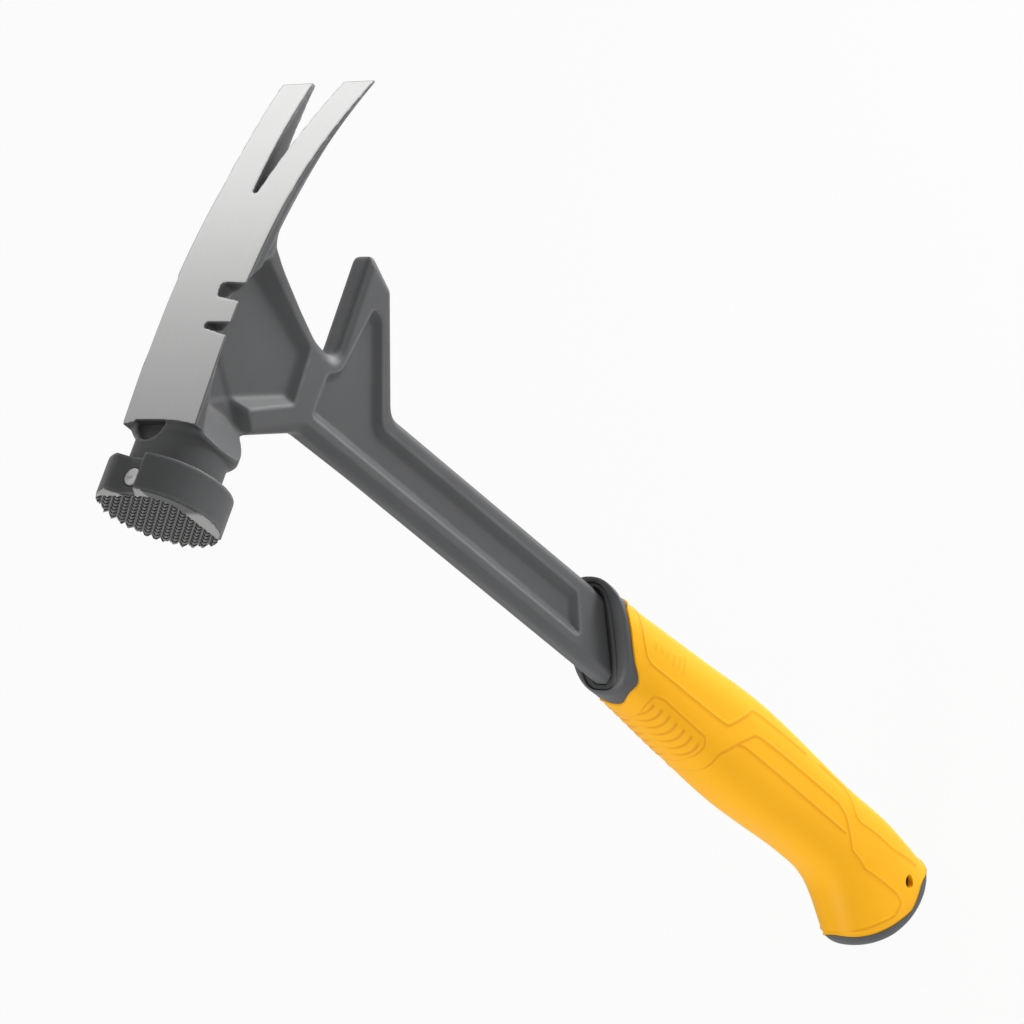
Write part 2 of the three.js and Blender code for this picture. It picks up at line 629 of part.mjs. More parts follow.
// Whole grip form, drawn in from the outer surface by a margin, with a domed butt
function gripForm(margin) {
  const rings = [];
  for (let i = 0; i <= GRIP_STEPS; i += 1) {
    const t = i / GRIP_STEPS;
    const claw = CLAW_SIDE.getPoint(t);
    const face = FACE_SIDE.getPoint(t);
    const share = margin / (claw.x - face.x);
    const half = THICKNESS.getPoint(t).y / 2 - margin;
    rings.push(oval(claw.clone().lerp(face, share), face.clone().lerp(claw, share), half));
  }
  const claw = CLAW_SIDE.getPoint(1);
  const face = FACE_SIDE.getPoint(1);
  const outward = point(claw.y - face.y, face.x - claw.x).normalize();
  const middle = claw.clone().add(face).divideScalar(2);
  const arm = claw.clone().sub(middle);
  const reach = arm.length() - margin;
  arm.normalize();
  for (let i = 1; i <= DOME_STEPS; i += 1) {
    const angle = (i / DOME_STEPS) * degToRad(DOME_END);
    const centre = middle.clone().addScaledVector(outward, (BUTT_DOME - margin) * Math.sin(angle));
    const half = (BUTT_THICKNESS / 2 - margin) * Math.cos(angle) ** DOME_FULLNESS;
    const side = arm.clone().multiplyScalar(reach * Math.cos(angle));
    rings.push(oval(centre.clone().add(side), centre.clone().sub(side), half));
  }
  return loft(rings);
}

// Everything below a sloping plane that crosses the shank axis at a given height
function belowPlane(height, slope) {
  const wide = 5 * BUTT_WIDTH;
  const corners = [
    [-wide, -wide], [wide, -wide], [wide, height + slope * wide], [-wide, height - slope * wide],
  ];
  return plate(corners.map(([x, z]) => point(x, z)), wide);
}

// Everything past the curved seat of the butt cap
function pastSeat(gap) {
  const claw = CLAW_SIDE.getPoint(1);
  const face = FACE_SIDE.getPoint(1);
  const middle = claw.clone().add(face).divideScalar(2);
  const lean = Math.atan2(claw.y - face.y, claw.x - face.x);
  const long = claw.distanceTo(face) / 2 + CAP_OVERHANG;
  const short = BUTT_DOME - CAP_THICKNESS + gap;
  const arc = new THREE.EllipseCurve(0, 0, long + gap, short, 0, 2 * Math.PI, false, 0);
  const seat = arc.getPoints(ROUND_STEPS);
  const wide = 3 * BUTT_WIDTH;
  const block = plate([point(-wide, -wide), point(wide, -wide), point(wide, 0), point(-wide, 0)], wide);
  const cut = block.subtract(plate(seat.slice(0, -1), wide + OVERRUN));
  return cut.rotate([0, -THREE.MathUtils.radToDeg(lean), 0]).translate([middle.x, 0, middle.y]);
}

// Core's nose: a rounded bar that follows the shank
function noseBar(margin) {
  const x = SHANK_SIDE + NOSE_WALL + margin;
  const y = SHANK_THICKNESS / 2 + NOSE_WALL + margin;
  const round = 0.8 * y;
  const outline = rounded([[-x, -y, round], [x, -y, round], [x, y, round], [-x, y, round]]);
  return column(outline, TANG_SHOULDER, LIP_HEIGHT + 2 * LIP_WIDTH);
}

// Space that the shank and the tang take up inside the grip
function tangSpace(gap) {
  const shank = SHANK_SIDE + gap;
  const tang = TANG_WIDTH / 2 + gap;
  const shoulder = TANG_SHOULDER - gap;
  const taper = shank - tang;
  const end = TANG_END - gap;
  const top = LIP_HEIGHT + 2 * LIP_WIDTH;
  const outline = rounded([
    [-shank, top], [-shank, shoulder], [-tang, shoulder - taper], [-tang, end, TANG_END_RADIUS],
    [tang, end, TANG_END_RADIUS], [tang, shoulder - taper], [shank, shoulder], [shank, top],
  ]);
  const space = plate(outline, SHANK_THICKNESS + 2 * gap);
  const radius = TANG_HOLE_DIAMETER / 2 - gap;
  const plugs = tangHoles().map((z) => crossPin(0, z, radius, SHANK_THICKNESS + OVERRUN));
  return plugs.reduce((left, plug) => left.subtract(plug), space);
}

const BUSH_RADIUS = LANYARD_BORE / 2 + LANYARD_WALL;
function bushBore() {
  return crossPin(LANYARD_X, LANYARD_HEIGHT, BUSH_RADIUS + FIT, BUTT_THICKNESS + OVERRUN);
}

// Outer form of the hard core, grown by a gap
function coreForm(gap) {
  const nose = noseBar(gap).intersect(belowPlane(LIP_HEIGHT - NOSE_SETBACK, LIP_SLOPE));
  const sleeve = gripForm(SKIN_THICKNESS - gap)
    .intersect(belowPlane(LIP_HEIGHT - COLLAR_LENGTH - FIT + gap, COLLAR_SLOPE));
  return nose.add(sleeve);
}

// Hard core moulded round the tang and through its holes
function gripCore() {
  return coreForm(0).subtract(tangSpace(FIT)).subtract(pastSeat(-FIT)).subtract(bushBore());
}

// Widening form whose upper end is the collar's lip with its chamfer
function lipForm() {
  const ring = (below, margin) => {
    const x = LIP_WIDTH / 2 - margin;
    const z = LIP_HEIGHT - below;
    const claw = point(x, z + LIP_SLOPE * x);
    const face = point(-x, z - LIP_SLOPE * x);
    return oval(claw, face, LIP_THICKNESS / 2 - margin);
  };
  return loft([ring(0, LIP_BREAK), ring(LIP_BREAK, 0), ring(2 * COLLAR_LENGTH, -COLLAR_LENGTH)]);
}

// Collar: the first slice of the grip's outer form, round the core's nose
function frontCollar() {
  return gripForm(0)
    .intersect(lipForm())
    .subtract(belowPlane(LIP_HEIGHT - COLLAR_LENGTH, COLLAR_SLOPE))
    .subtract(noseBar(FIT));
}

// Soft skin over the core
function gripSkin() {
  return gripForm(0)
    .intersect(belowPlane(LIP_HEIGHT - COLLAR_LENGTH - FIT, COLLAR_SLOPE))
    .subtract(coreForm(FIT))
    .subtract(pastSeat(-FIT))
    .subtract(bushBore());
}

// Domed cap over the end of the skin and the core
function buttCap() {
  return gripForm(0).intersect(pastSeat(0));
}

// Liner of the lanyard hole
function lanyardBush() {
  const length = BUTT_THICKNESS - 2 * LANYARD_SINK;
  const tube = crossPin(LANYARD_X, LANYARD_HEIGHT, BUSH_RADIUS, length);
  return tube.subtract(crossPin(LANYARD_X, LANYARD_HEIGHT, LANYARD_BORE / 2, length + OVERRUN));
}

// Finishes
function finish(color, roughness, metalness) {
  return new THREE.MeshStandardMaterial({ color, roughness, metalness });
}
const PIECES = [
  ['forged_hammer', forging(), finish(0x5a5b5d, 0.45, 0.8)],
  ['nail_magnet', nailMagnet(), finish(0xd8d8d6, 0.25, 1)],
  ['grip_core', gripCore(), finish(0x232425, 0.6, 0)],
  ['front_collar', frontCollar(), finish(0x47484a, 0.7, 0)],
  ['grip_skin', gripSkin(), finish(0xf6b52a, 0.6, 0)],
  ['butt_cap', buttCap(), finish(0x47484a, 0.7, 0)],
  ['lanyard_bush', lanyardBush(), finish(0x303132, 0.6, 0)],
];

const hammer = new THREE.Group();
for (const [name, body, material] of PIECES) {
  const mesh = new THREE.Mesh(geometryOf(body), material);
  mesh.name = name;
  hammer.add(mesh);
}

// Origin under the middle of the whole hammer, at the lowest point of the butt
const box = new THREE.Box3().setFromObject(hammer);
const middle = box.getCenter(new THREE.Vector3());
for (const mesh of hammer.children) {
  mesh.geometry.translate(-middle.x, -middle.y, -box.min.z);
}

export default hammer;
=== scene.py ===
"""Looks of a demolition claw hammer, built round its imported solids."""

import math
from functools import partialmethod

import bpy
import numpy as np
from bpy.props import FloatProperty, FloatVectorProperty, IntProperty, PointerProperty
from bpy.types import Operator, Panel, PropertyGroup
from mathutils import Matrix, Vector


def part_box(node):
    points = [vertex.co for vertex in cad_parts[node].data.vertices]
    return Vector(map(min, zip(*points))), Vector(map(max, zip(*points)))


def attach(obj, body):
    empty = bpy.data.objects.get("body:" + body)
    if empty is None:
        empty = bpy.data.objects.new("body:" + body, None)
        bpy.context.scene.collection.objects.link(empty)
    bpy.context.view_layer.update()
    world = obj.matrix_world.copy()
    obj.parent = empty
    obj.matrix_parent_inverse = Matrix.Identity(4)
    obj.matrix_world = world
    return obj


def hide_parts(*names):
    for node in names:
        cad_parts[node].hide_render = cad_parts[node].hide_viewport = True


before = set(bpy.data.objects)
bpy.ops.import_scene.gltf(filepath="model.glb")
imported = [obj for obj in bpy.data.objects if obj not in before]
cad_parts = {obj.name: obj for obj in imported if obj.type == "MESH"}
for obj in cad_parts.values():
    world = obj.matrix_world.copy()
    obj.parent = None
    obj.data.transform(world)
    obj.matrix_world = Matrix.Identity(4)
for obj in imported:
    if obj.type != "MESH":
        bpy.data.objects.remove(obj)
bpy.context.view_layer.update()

bl_info = {
    "name": "Demolition Claw Hammer",
    "version": (1, 0, 0),
    "blender": (4, 5, 0),
    "location": "View3D > Sidebar > Hammer",
    "description": "Builds a one-piece forged claw hammer with a moulded grip",
    "category": "Add Mesh",
}

MM = 0.001
BODY = "root"

# The drawing is in millimetres: X from the shank axis to the claw, Z up the handle.

# Strap and claw
STRAP_HEIGHT = 410.0
STRAP_FRONT = -38.0
STRAP_HALF = 14.25
STRAP_EDGE = 5.2
STRAP_UNDERCUT = 1.6
FRONT_BOW = 1.6
EDGE_SCOOP = 0.88
SCOOP_STARTS = (-46, -12)
SCOOP_ENDS = (17, 10)
CREST_X = -6.0
CROWN_RADIUS = 640.0
CLAW_RADIUS = 254.0
CREST = STRAP_HEIGHT + (STRAP_FRONT - CREST_X) ** 2 / (2 * CROWN_RADIUS)
CLAW_REACH = 87.0
CLAW_HALF = 18.3
CLAW_FLARE_X = 34.0
CLAW_ROOT_X = 31.0
CLAW_ROOT_DEPTH = 10.1
CLAW_TIP_DEPTH = 1.6
CLAW_TIP_EDGE = 0.9
CLAW_DEEPENS = (6, 24)
CLAW_RIDGE_HALF = 15.0
WEB_HALF = 6.5
SLOT_APEX_X = 41.5
SLOT_APEX_HALF = 0.9
SLOT_MOUTH_HALF = 6.0
SLOT_FLOOR = 370.0

# Nail-puller notches in the near edge: the place of each, and the widths of its mouth and its end
NOTCHES = ((5.4, 6.0, 4.6), (-6.8, 4.2, 1.8))
NOTCH_DEPTH = 9.8
NOTCH_LEAN = 1.3
NOTCH_OUTSIDE = -34.0
NOTCH_FLOOR = 390.0

# Poll
POLL_AXIS = 397.2
POLL_REACH = -62.0
FACE_RADIUS = 19.2
FLANGE_REAR = -49.8
WAIST_RADIUS = 14.0
WAIST_REAR = -41.0
NECK_RADIUS = 16.4
NECK_FRONT = -37.8
NECK_REAR = -25.5
NECK_WALL_FOOT = -24.5
NECK_FLAT = 409.3
GROOVE_HALF = 2.9
GROOVE_FLOOR = 412.5
NEAR_BANK = 1.7
FAR_BANK = 0.8
MAGNET_X = -56.4
MAGNET_RADIUS = 2.75
MAGNET_TOP = 412.75
MAGNET_LENGTH = 5.0
MAGNET_EDGE = 0.35
MAGNET_BEVEL = 0.1
POCKET_WALL = -36.4
POCKET_Y = 4.0
POCKET_RADIUS = 5.8
POCKET_FLOOR = 406.4
BORE_PLAY = 0.15

# Strike face: the lands lie above and on the near side of the teeth
LAND_TOP = 12.5
LAND_NEAR = 12.0
LAND_CORNER = 8.0
LAND_START = -0.6
LAND_WALL = 1.0
TOOTH_RUN_OUT = 1.8
TOOTH_PHASE = 1.9
TOOTH_STEPS = 6
FACE_INSET = 0.1
FACE_SETBACK = 0.15
FACE_SEAT = 0.2
FACE_BACK = 0.5
FACE_GROOVE_GAP = 0.5

# Web, board jaw and shank, seen from the side
SHANK_REACH = 11.9
SHANK_HALF = 4.5
SHANK_FOOT = 170.0
PLATE = [
    (-33, 404.8), (-33, 393.6), (-SHANK_REACH, 357.5, 8), (-SHANK_REACH, SHANK_FOOT),
    (SHANK_REACH, SHANK_FOOT), (SHANK_REACH, 323.2, 6), (44.9, 341.7, 3), (50.5, 355.5, 2.4),
    (13.4, 354.6, 4.5), (14.4, 365.4, 14), (18.9, 376.1, 30), (25, 388.9, 40), (31.6, 399.4), (31.6, 404.8),
]
WEB_FOOT = 353.7
WEB_FOOT_HALF = 3.4
WEB_RISE = 45.0
WEB_TAPER = (WEB_HALF - WEB_FOOT_HALF) / WEB_RISE
WEB_POCKET = [(-17.9, 389.5), (-5.6, 368.4), (9.4, 369.4), (26.4, 417)]
NECK_HOLLOW = [(-27.5, 378), (-17.9, 389.5)]
WEB_POCKET_FLOOR = 2.0
WEB_POCKET_WALL = 0.88
SHANK_PANEL = [
    (-6.2, 356.8, 2), (-6.2, 210.8, 2), (6.2, 219.2, 2), (6.2, 326.6, 5), (34.6, 342.2, 3), (36.5, 347.6, 3),
    (12, 351.5, 6), (8.5, 356.6, 3),
]
SHANK_PANEL_FLOOR = 2.2
SHANK_PANEL_DEPTH = 2.3
SHANK_PANEL_WALL = 2.6
SHANK_END = 186.0
TANG_END = 46.0

# Blends between the forging's faces
WALL_BLEND = 1.0
WEB_BLEND = 1.2
HOLLOW_BLEND = 1.5
PANEL_BLEND = 0.7
NECK_FLAT_BLEND = 3.0
GROOVE_BLEND = 0.6
FRONT_BLEND = 0.5
FRONT_BLEND_ENDS = (-40, -26)
NECK_OVERLAP = 2.0
WEB_EDGE = 1.4
POCKET_EDGE = 0.5
PANEL_EDGE = 0.4
FLANGE_EDGE = 0.55
GROOVE_EDGE = 0.8
CUT_EDGE = 0.2

# Wear of the paint at edges, whose paleness is also a painted highlight; painted light on the jaw's level
# face and a painted highlight round the throat
WEAR_HIGHLIGHT_DEPTH = 0.9
WEAR_HIGHLIGHT_RANGE = 0.3
# Painted light: the jaw's level, upward face is painted paler than the coat
JAW_PAINTED_LIGHT = 1.2
JAW_LEVEL = (0.8, 0.95)
JAW_START = (12, 16)
JAW_TOP = (359, 357)
# Painted highlight: a pale spot on the throat's fillet
THROAT_PAINTED_HIGHLIGHT = 2.0
THROAT_X = 14.2
THROAT_HEIGHT = 356.6
THROAT_SPREAD = 7.0

# Grip: height, width, slope, shift and thickness of its sections, from the lip to the butt
GRIP_STATIONS = np.array([
    (200, 29, 0.8, 0, 23.6),
    (184, 28.6, 0.57, 0.1, 25.4),
    (150, 32.7, 0.3, -0.2, 26.4),
    (114, 36, 0.12, -0.2, 27.6),
    (68, 31.6, -0.3, -0.9, 25.6),
    (44, 32.9, -0.6, -2.15, 25.4),
    (22.3, 39.9, -0.77, -8.85, 25.4),
])
GRIP_POWER = 2 / 2.4
LIP_HEIGHT, _, LIP_SLOPE, *_ = GRIP_STATIONS[0]
BUTT_DOME = 13.0
DOME_FULLNESS = 0.5
SKIN_EDGE = 0.7
SKIN_TUCK = 0.45

# Collar: its dip lies on the far side, its swell and its thinner lip on the claw side
COLLAR_LIP = 2.6
COLLAR_LIP_THINS = (0.2, 0.8)
COLLAR_DIP = 10.2
COLLAR_DIP_AROUND = -14.0
COLLAR_DIP_HALF = 3.5
COLLAR_SWELL = 1.0
SWELL_AROUND = (0.1, 0.7)
SWELL_ALONG = (0.2, 0.85)
COLLAR_EDGE = 0.6
COLLAR_TUCK = 0.4
COLLAR_LEAST_FALL = 0.2
COLLAR_CREST = 0.9
COLLAR_BORE_DROPS = (0.3, 2.5, 4.2)

# Butt cap: its edge rises towards the claw side and over the heel there
CAP_THICKNESS = 6.5
CAP_OVERHANG = 0.5
CAP_RISE = 0.9
CAP_RISE_ENDS = (0.1, 0.55)
CAP_HEEL = 0.045
CAP_HEEL_ENDS = (0.6, 0.95)
CAP_EDGE = 0.7
CAP_TUCK = 0.35
CAP_POLE = math.radians(88.5)

# Core and lanyard hole
NOSE_DROP = 0.4
NOSE_HALF_X = 13.7
NOSE_HALF_Y = 7.6
NOSE_POWER = 2 / 3.4
NOSE_GAP = 0.05
NOSE_CHAMFER = 0.2
NOSE_FOOT = 5.0
PIT_PLAY = 0.1
PIT_DEPTH = 17.0
PIT_FLOOR = 0.05
PIT_EDGE = 0.3
SLEEVE_START = 0.09
SLEEVE_GAP = 0.3
LANYARD = np.array([-2.4, 0, 21.5])
BUSH_HALF = 10.3
BUSH_WALL = 0.7
BUSH_EDGE = 0.3
BUSH_PLAY = 0.05
DRILL_HALF = 40.0

# Lines pressed into the skin: along the grip from the lip, round it from the middle of a side
UPPER_PANEL = [
    (13.5, 20), (11.2, 10.5), (11.1, 4.5), (12.2, -0.6, 2.5), (15, -2.1, 2), (56.5, -1.5, 2), (60.6, -1.1, 3),
    (65.3, 2.7), (73, 9.6, 3), (77, 10, 3), (105, 10.8),
]
BACK_PANEL = [
    (114, 11.7), (130.5, 11.9, 4), (137.8, 5.4, 3), (141.5, 4.4, 3), (159.4, 7.1, 14), (173.3, 15.2),
]
FINGER_PANEL = [
    (22, -30), (20.4, -20.5, 4), (17.6, -15, 4), (19, -10.6, 3), (24.7, -9.2, 3), (50.6, -9.5, 2.5),
    (52.5, -12, 3), (51.2, -18.5), (51.5, -30),
]
PALM_PANEL = [
    (55.6, -30), (58, -25, 4), (59.4, -19, 3), (60.4, -11, 4), (66.7, -4.6, 3), (71, -3.6, 3), (138, -2.9),
]
PALM_BORDER = [
    (66.7, -4.5), (75.3, 2.2, 4), (79.5, 2.9, 3), (127.8, 4, 4), (133.3, 2.4, 4), (146, -6.4, 5),
    (158, -8.1, 5), (175.6, -1.8, 2), (179.6, -1.9, 2), (182, -6.4, 2), (181, -14.8, 4), (178.7, -33),
]
SKIN_LINES = (UPPER_PANEL, BACK_PANEL, FINGER_PANEL, PALM_PANEL, PALM_BORDER)
RIB_FIELD = [(18.6, -12.8), (24, -11.6), (49, -11.4), (51, -13.2), (50.4, -40), (22.5, -40)]
FIRST_RIB = 20.8
RIB_BEND = -15.0
RIB_CURVE = 0.04
RIB_INSET = 1.2
RIB_GAP_HALF = 0.9
RIB_FADE = (0.99, 0.75)
RIB_SHADE = (-27, -18)
TICKS = [
    (17.5, 3.8, 6.5), (21.2, 4.4, 5.9), (24.2, 4.4, 6.6), (27.2, 3.2, 7.2), (30.2, 3.5, 8.3), (33.1, 3.4, 10),
]
TICK_LEAN = 0.38
TICK_HALF = 0.45
TICK_SHADE = 0.7
LINE_FADE = (0.97, 0.82)
COLLAR_LINE = [
    (-30, 12.5), (-21, 11.5), (-19, 8.4), (-16.5, 7.4), (-14, 8.3), (-12.4, 9.8), (-10.6, 10), (-9.4, 8.6),
    (-8, 6.5), (-4.6, 4.9), (-0.4, 4.3), (4.7, 4.1), (9.8, 4.3), (14, 6.3), (17, 9.6), (30, 10.2),
]

# Stage, in metres and watts
CAMERA_SENSOR = 36.0
CAMERA_LENS = 193.36
CAMERA_PLACE = (-0.6025, -1.0828, 1.43095)
CAMERA_RIGHT = (0.3052, -0.7738, -0.5550)
CAMERA_UP = (0.8841, 0.0137, 0.4671)
# Lamps: name, target, direction from it, distance, width, height, power and, if narrow, spread in degrees
LAMPS = (
    ("key", (0, 0, 0.25), (0.88, -0.44, -0.18), 0.75, 0.5, 0.3, 7.1),
    ("claw_card", (0, 0, 0.36), (0.78, 0.66, 0.24), 1.7, 1.0, 1.0, 2),
    ("grip_fill", (0, 0, 0.1), (-0.95, -0.2, 0.1), 0.9, 0.45, 0.3, 0.38, 45),
)
FLOOR_HALF = 4.0
FLOOR_DROP = 0.0005
FLOOR_GLOW = 0.93
SKY_LEVEL = 0.55
SKY_OVERHEAD = 0.3
WHITE = (1, 1, 1, 1)

# Fineness
CORNER_STEPS = 7
CORNER_ROOM = 0.48
CHART_ROWS = 600
CHART_END = 2.45
EDGE_STEPS = 200
EDGE_BLUR = 17
EDGE_Q = 0.06
RING_STEPS = 8001
INNER_SHARES = (0.995, 0.005, 40)
COLLAR_GRID = (30, 180)
COLLAR_ARC = 15
CAP_GRID = (40, 144)
CAP_SPACING = 1.3
SEAT_SHARES = (0.02, 0.97, 10)
CORE_COLUMNS = 180
SLEEVE_ROWS = 40
TURN_STEPS = 72
DRILL_STEPS = 40
NET_DROPS = (-236, 9)
NET_MARGIN = 1.0
NET_SLABS = 10
SETTLE_ROUNDS = 4
SETTLE_LIMIT = 0.3
SETTLE_FLATTEST = 0.25
RIM_ROUNDS = 6
TINY = 1e-9

FORGED_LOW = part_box("forged_hammer")[0]
SHIFT = np.array([FORGED_LOW.x / MM - POLL_REACH, 0, FORGED_LOW.z / MM - TANG_END])


def length(name, description, size):
    """A length of the hammer, written in millimetres and kept in metres."""
    return FloatProperty(name=name, description=description, default=size * MM, unit="LENGTH", precision=5)


def colour(name, description, red, green, blue):
    """A finish's colour, written in display values from 0 to 255 and kept as linear light."""
    shares = [value / 255 for value in (red, green, blue)]
    linear = [s / 12.92 if s <= 0.04045 else ((s + 0.055) / 1.055) ** 2.4 for s in shares]
    return FloatVectorProperty(
        name=name, description=description, default=linear, size=3, subtype="COLOR", min=0, max=1)


class HammerSizes(PropertyGroup):
    """Sizes that a maker would change without redrawing the solids."""

    net_step: length("Net step", "Spacing of the forging's mesh", 0.62)
    shank_chamfer: length("Shank chamfer", "Edge cut off along the shank and the jaw", 2.4)
    ground_edge: length("Ground edge", "Radius left on the ground edges of the strap", 0.25)
    cast_edge: length("Forged edge", "Radius on the other edges of the head", 0.9)
    web_fillet: length("Web fillet", "How far the web flares into the strap", 3.6)
    neck_fillet: length("Neck fillet", "How far the poll flares into the web", 3.0)
    tooth_pitch: length("Tooth pitch", "Distance between two teeth of the strike face", 2.78)
    tooth_depth: length("Tooth depth", "Height of a tooth of the strike face", 1.4)
    line_depth: length("Line depth", "Depth of the lines pressed into the skin", 0.32)
    line_half: length("Line half width", "Half the width of those lines", 0.52)
    rib_depth: length("Rib depth", "Depth of the gaps between the ribs under the fingers", 0.5)
    rib_pitch: length("Rib pitch", "Distance between two ribs", 4.75)
    tick_depth: length("Tick depth", "Depth of the short lines on the upper panel", 0.2)
    parting: length("Parting line", "Gap between the skin and its neighbours", 0.3)
    skin_wall: length("Skin wall", "Thickness of the soft skin", 3.0)
    lanyard_radius: length("Lanyard hole radius", "Radius of the hole through the skin", 2.35)
    bush_bore: length("Bush bore radius", "Radius of the lanyard bush's bore", 2.0)
    grip_columns: IntProperty(name="Grip columns", description="Mesh columns round the grip", default=196)
    grip_rows: IntProperty(name="Grip rows", description="Mesh rows along the grip", default=392)


class HammerColours(PropertyGroup):
    """Colours of the hammer's finishes."""

    paint: colour("Paint", "Grey coat of the forging", 82, 83, 84)
    # Paint at rubbed edges; the same pale colour is also the painted highlight at edges and round the throat,
    # and the painted light on the jaw's level face
    rubbed_and_lit_paint: colour("Rubbed and lit paint", "Coat where edges are rubbed", 150, 151, 153)
    # The claw's ground steel, and below it the same steel darker at the strap's front: a painted gradient of
    # light along the bare strap
    steel: colour("Ground steel", "Bare steel of the claw", 210, 210, 209)
    shaded_steel: colour("Shaded steel", "Bare steel at the front of the strap", 156, 156, 156)
    milled: colour("Milled steel", "Bare steel of the strike face", 160, 160, 159)
    magnet: colour("Magnet", "Plated magnet", 205, 205, 203)
    yellow: colour("Skin", "Soft skin of the grip", 250, 181, 18)
    # The skin's yellow darkened, as painted shade in its lines, rib gaps and ticks
    shaded_yellow: colour("Skin in its lines", "Skin in the pressed lines", 224, 148, 8)
    grey: colour("Grey rubber", "Collar and butt cap", 66, 67, 70)
    black: colour("Core", "Hard core and lanyard bush", 32, 32, 34)
    floor: colour("Floor", "Pale studio floor", 240, 240, 240)


def settings(context):
    """The hammer's sizes and colours in a scene."""
    return context.scene.hammer_sizes, context.scene.hammer_colours


def drawn(metres):
    """A stored length in the drawing's millimetres."""
    return metres / MM


# Shapes as fields: a field is negative inside a solid, about its distance from the surface


def rounded_meet(a, b, radius):
    """Where two solids overlap: the larger field, with an arc of the radius along their edge."""
    arc = np.hypot(np.maximum(a + radius, 0), np.maximum(b + radius, 0))
    return np.minimum(np.maximum(a, b), -radius) + arc


def chamfered_meet(a, b, cut):
    """Where two solids overlap, with a plane at 45 degrees that takes the cut off their edge."""
    return soft_meet(np.maximum(a, b), (a + b + cut) * math.sqrt(0.5), 0.5)


def soft_join(a, b, reach):
    """Two solids as one: the smaller field, less a parabola where they differ by under the reach."""
    lap = np.maximum(reach - np.abs(a - b), 0)
    return np.minimum(a, b) - lap * lap / (4 * reach)


def soft_meet(a, b, reach):
    """Where two solids overlap, with a parabola along their edge."""
    return -soft_join(-a, -b, reach)


def eased(low, high, value):
    """Share from 0 at the low value to 1 at the high one, level at both ends."""
    share = np.clip((value - low) / (high - low), 0, 1)
    return share * share * (3 - 2 * share)


def mixed(low, high, share):
    """Value between two others."""
    return low + (high - low) * share


def rounded(corners):
    """Outline whose corners with a radius become quadratic curves, a radius's run long each way."""
    spots = np.array([corner[:2] for corner in corners], float)
    share = np.linspace(0, 1, CORNER_STEPS)[:, None]
    points = []
    for i, corner in enumerate(corners):
        here = spots[i]
        if len(corner) < 3:
            points.append(here[None])
            continue
        before, after = spots[i - 1] - here, spots[(i + 1) % len(spots)] - here
        sides = np.linalg.norm(before), np.linalg.norm(after)
        half = math.acos(np.clip(before @ after / (sides[0] * sides[1]), -1, 1)) / 2
        run = min(corner[2] / math.tan(half), CORNER_ROOM * min(sides))
        start, end = here + before / sides[0] * run, here + after / sides[1] * run
        points.append((1 - share) ** 2 * start + 2 * share * (1 - share) * here + share ** 2 * end)
    return np.concatenate(points)


def line_distance(points, u, v):
    """Distance from an open row of points: the least of the distances from its straight parts."""
    near = np.inf
    for (au, av), (bu, bv) in zip(points[:-1], points[1:]):
        du, dv = bu - au, bv - av
        share = np.clip(((u - au) * du + (v - av) * dv) / max(du * du + dv * dv, TINY), 0, 1)
        near = np.minimum(near, (u - au - share * du) ** 2 + (v - av - share * dv) ** 2)
    return np.sqrt(near)


def outline_distance(points, u, v):
    """Distance from a closed outline, negative inside, where a level ray crosses it an odd count of times."""
    inside = np.zeros(np.broadcast(u, v).shape, bool)
    for (au, av), (bu, bv) in zip(points, np.roll(points, -1, 0)):
        rise = bv - av if abs(bv - av) > TINY else TINY
        inside ^= ((av > v) != (bv > v)) & (u < au + (v - av) * (bu - au) / rise)
    near = line_distance(np.concatenate([points, points[:1]]), u, v)
    return np.where(inside, -near, near)


def notch_outline(middle, mouth, end):
    """Notch seen from above: straight in to the near edge, then leaning towards the claw to a round end."""
    left, right = middle - mouth / 2, middle + mouth / 2
    inner_left, inner_right = middle + NOTCH_LEAN - end / 2, middle + NOTCH_LEAN + end / 2
    inner = NOTCH_DEPTH - STRAP_HALF
    return rounded([
        (left, NOTCH_OUTSIDE), (right, NOTCH_OUTSIDE), (right, -STRAP_HALF), (inner_right, inner, end / 2),
        (inner_left, inner, end / 2), (left, -STRAP_HALF),
    ])


PLATE_OUTLINE = rounded(PLATE)
PANEL_OUTLINE = rounded(SHANK_PANEL)
NOTCH_OUTLINES = [notch_outline(*notch) for notch in NOTCHES]


def strap_top(x):
    """Height of the strap: two parabolas that meet level at the crest."""
    radius = np.where(x < CREST_X, CROWN_RADIUS, CLAW_RADIUS)
    return CREST - (x - CREST_X) ** 2 / (2 * radius)


def strap_field(x, side, z, sizes):
    """Strap and claw: under the top, between the sides, over an underside that is deepest in the middle."""
    along = (x - STRAP_FRONT) / (CLAW_REACH - STRAP_FRONT)
    tip = np.clip((x - CLAW_ROOT_X) / (CLAW_REACH - CLAW_ROOT_X), 0, 1)
    half = mixed(STRAP_HALF, CLAW_HALF, 2 * eased(CLAW_FLARE_X, 2 * CLAW_REACH - CLAW_FLARE_X, x))
    whole_edge = mixed(STRAP_EDGE, CLAW_TIP_EDGE, along)
    edge = whole_edge * (1 - EDGE_SCOOP * eased(*SCOOP_STARTS, x) * eased(*SCOOP_ENDS, x))
    ridge = mixed(WEB_HALF, CLAW_RIDGE_HALF, tip)
    claw_depth = mixed(CLAW_ROOT_DEPTH, CLAW_TIP_DEPTH, tip)
    depth = mixed(whole_edge + STRAP_UNDERCUT, claw_depth, eased(*CLAW_DEEPENS, x))
    top = strap_top(x)
    under = top - mixed(edge, depth, np.clip((half - side) / (half - ridge), 0, 1))
    bow = FRONT_BOW * (1 - (side / STRAP_HALF) ** 2)
    ends = np.maximum(STRAP_FRONT + bow - x, x - CLAW_REACH)
    ground, cast = drawn(sizes.ground_edge), drawn(sizes.cast_edge)
    block = rounded_meet(z - top, side - half, ground)
    return rounded_meet(soft_meet(block, under - z, cast), ends, ground)


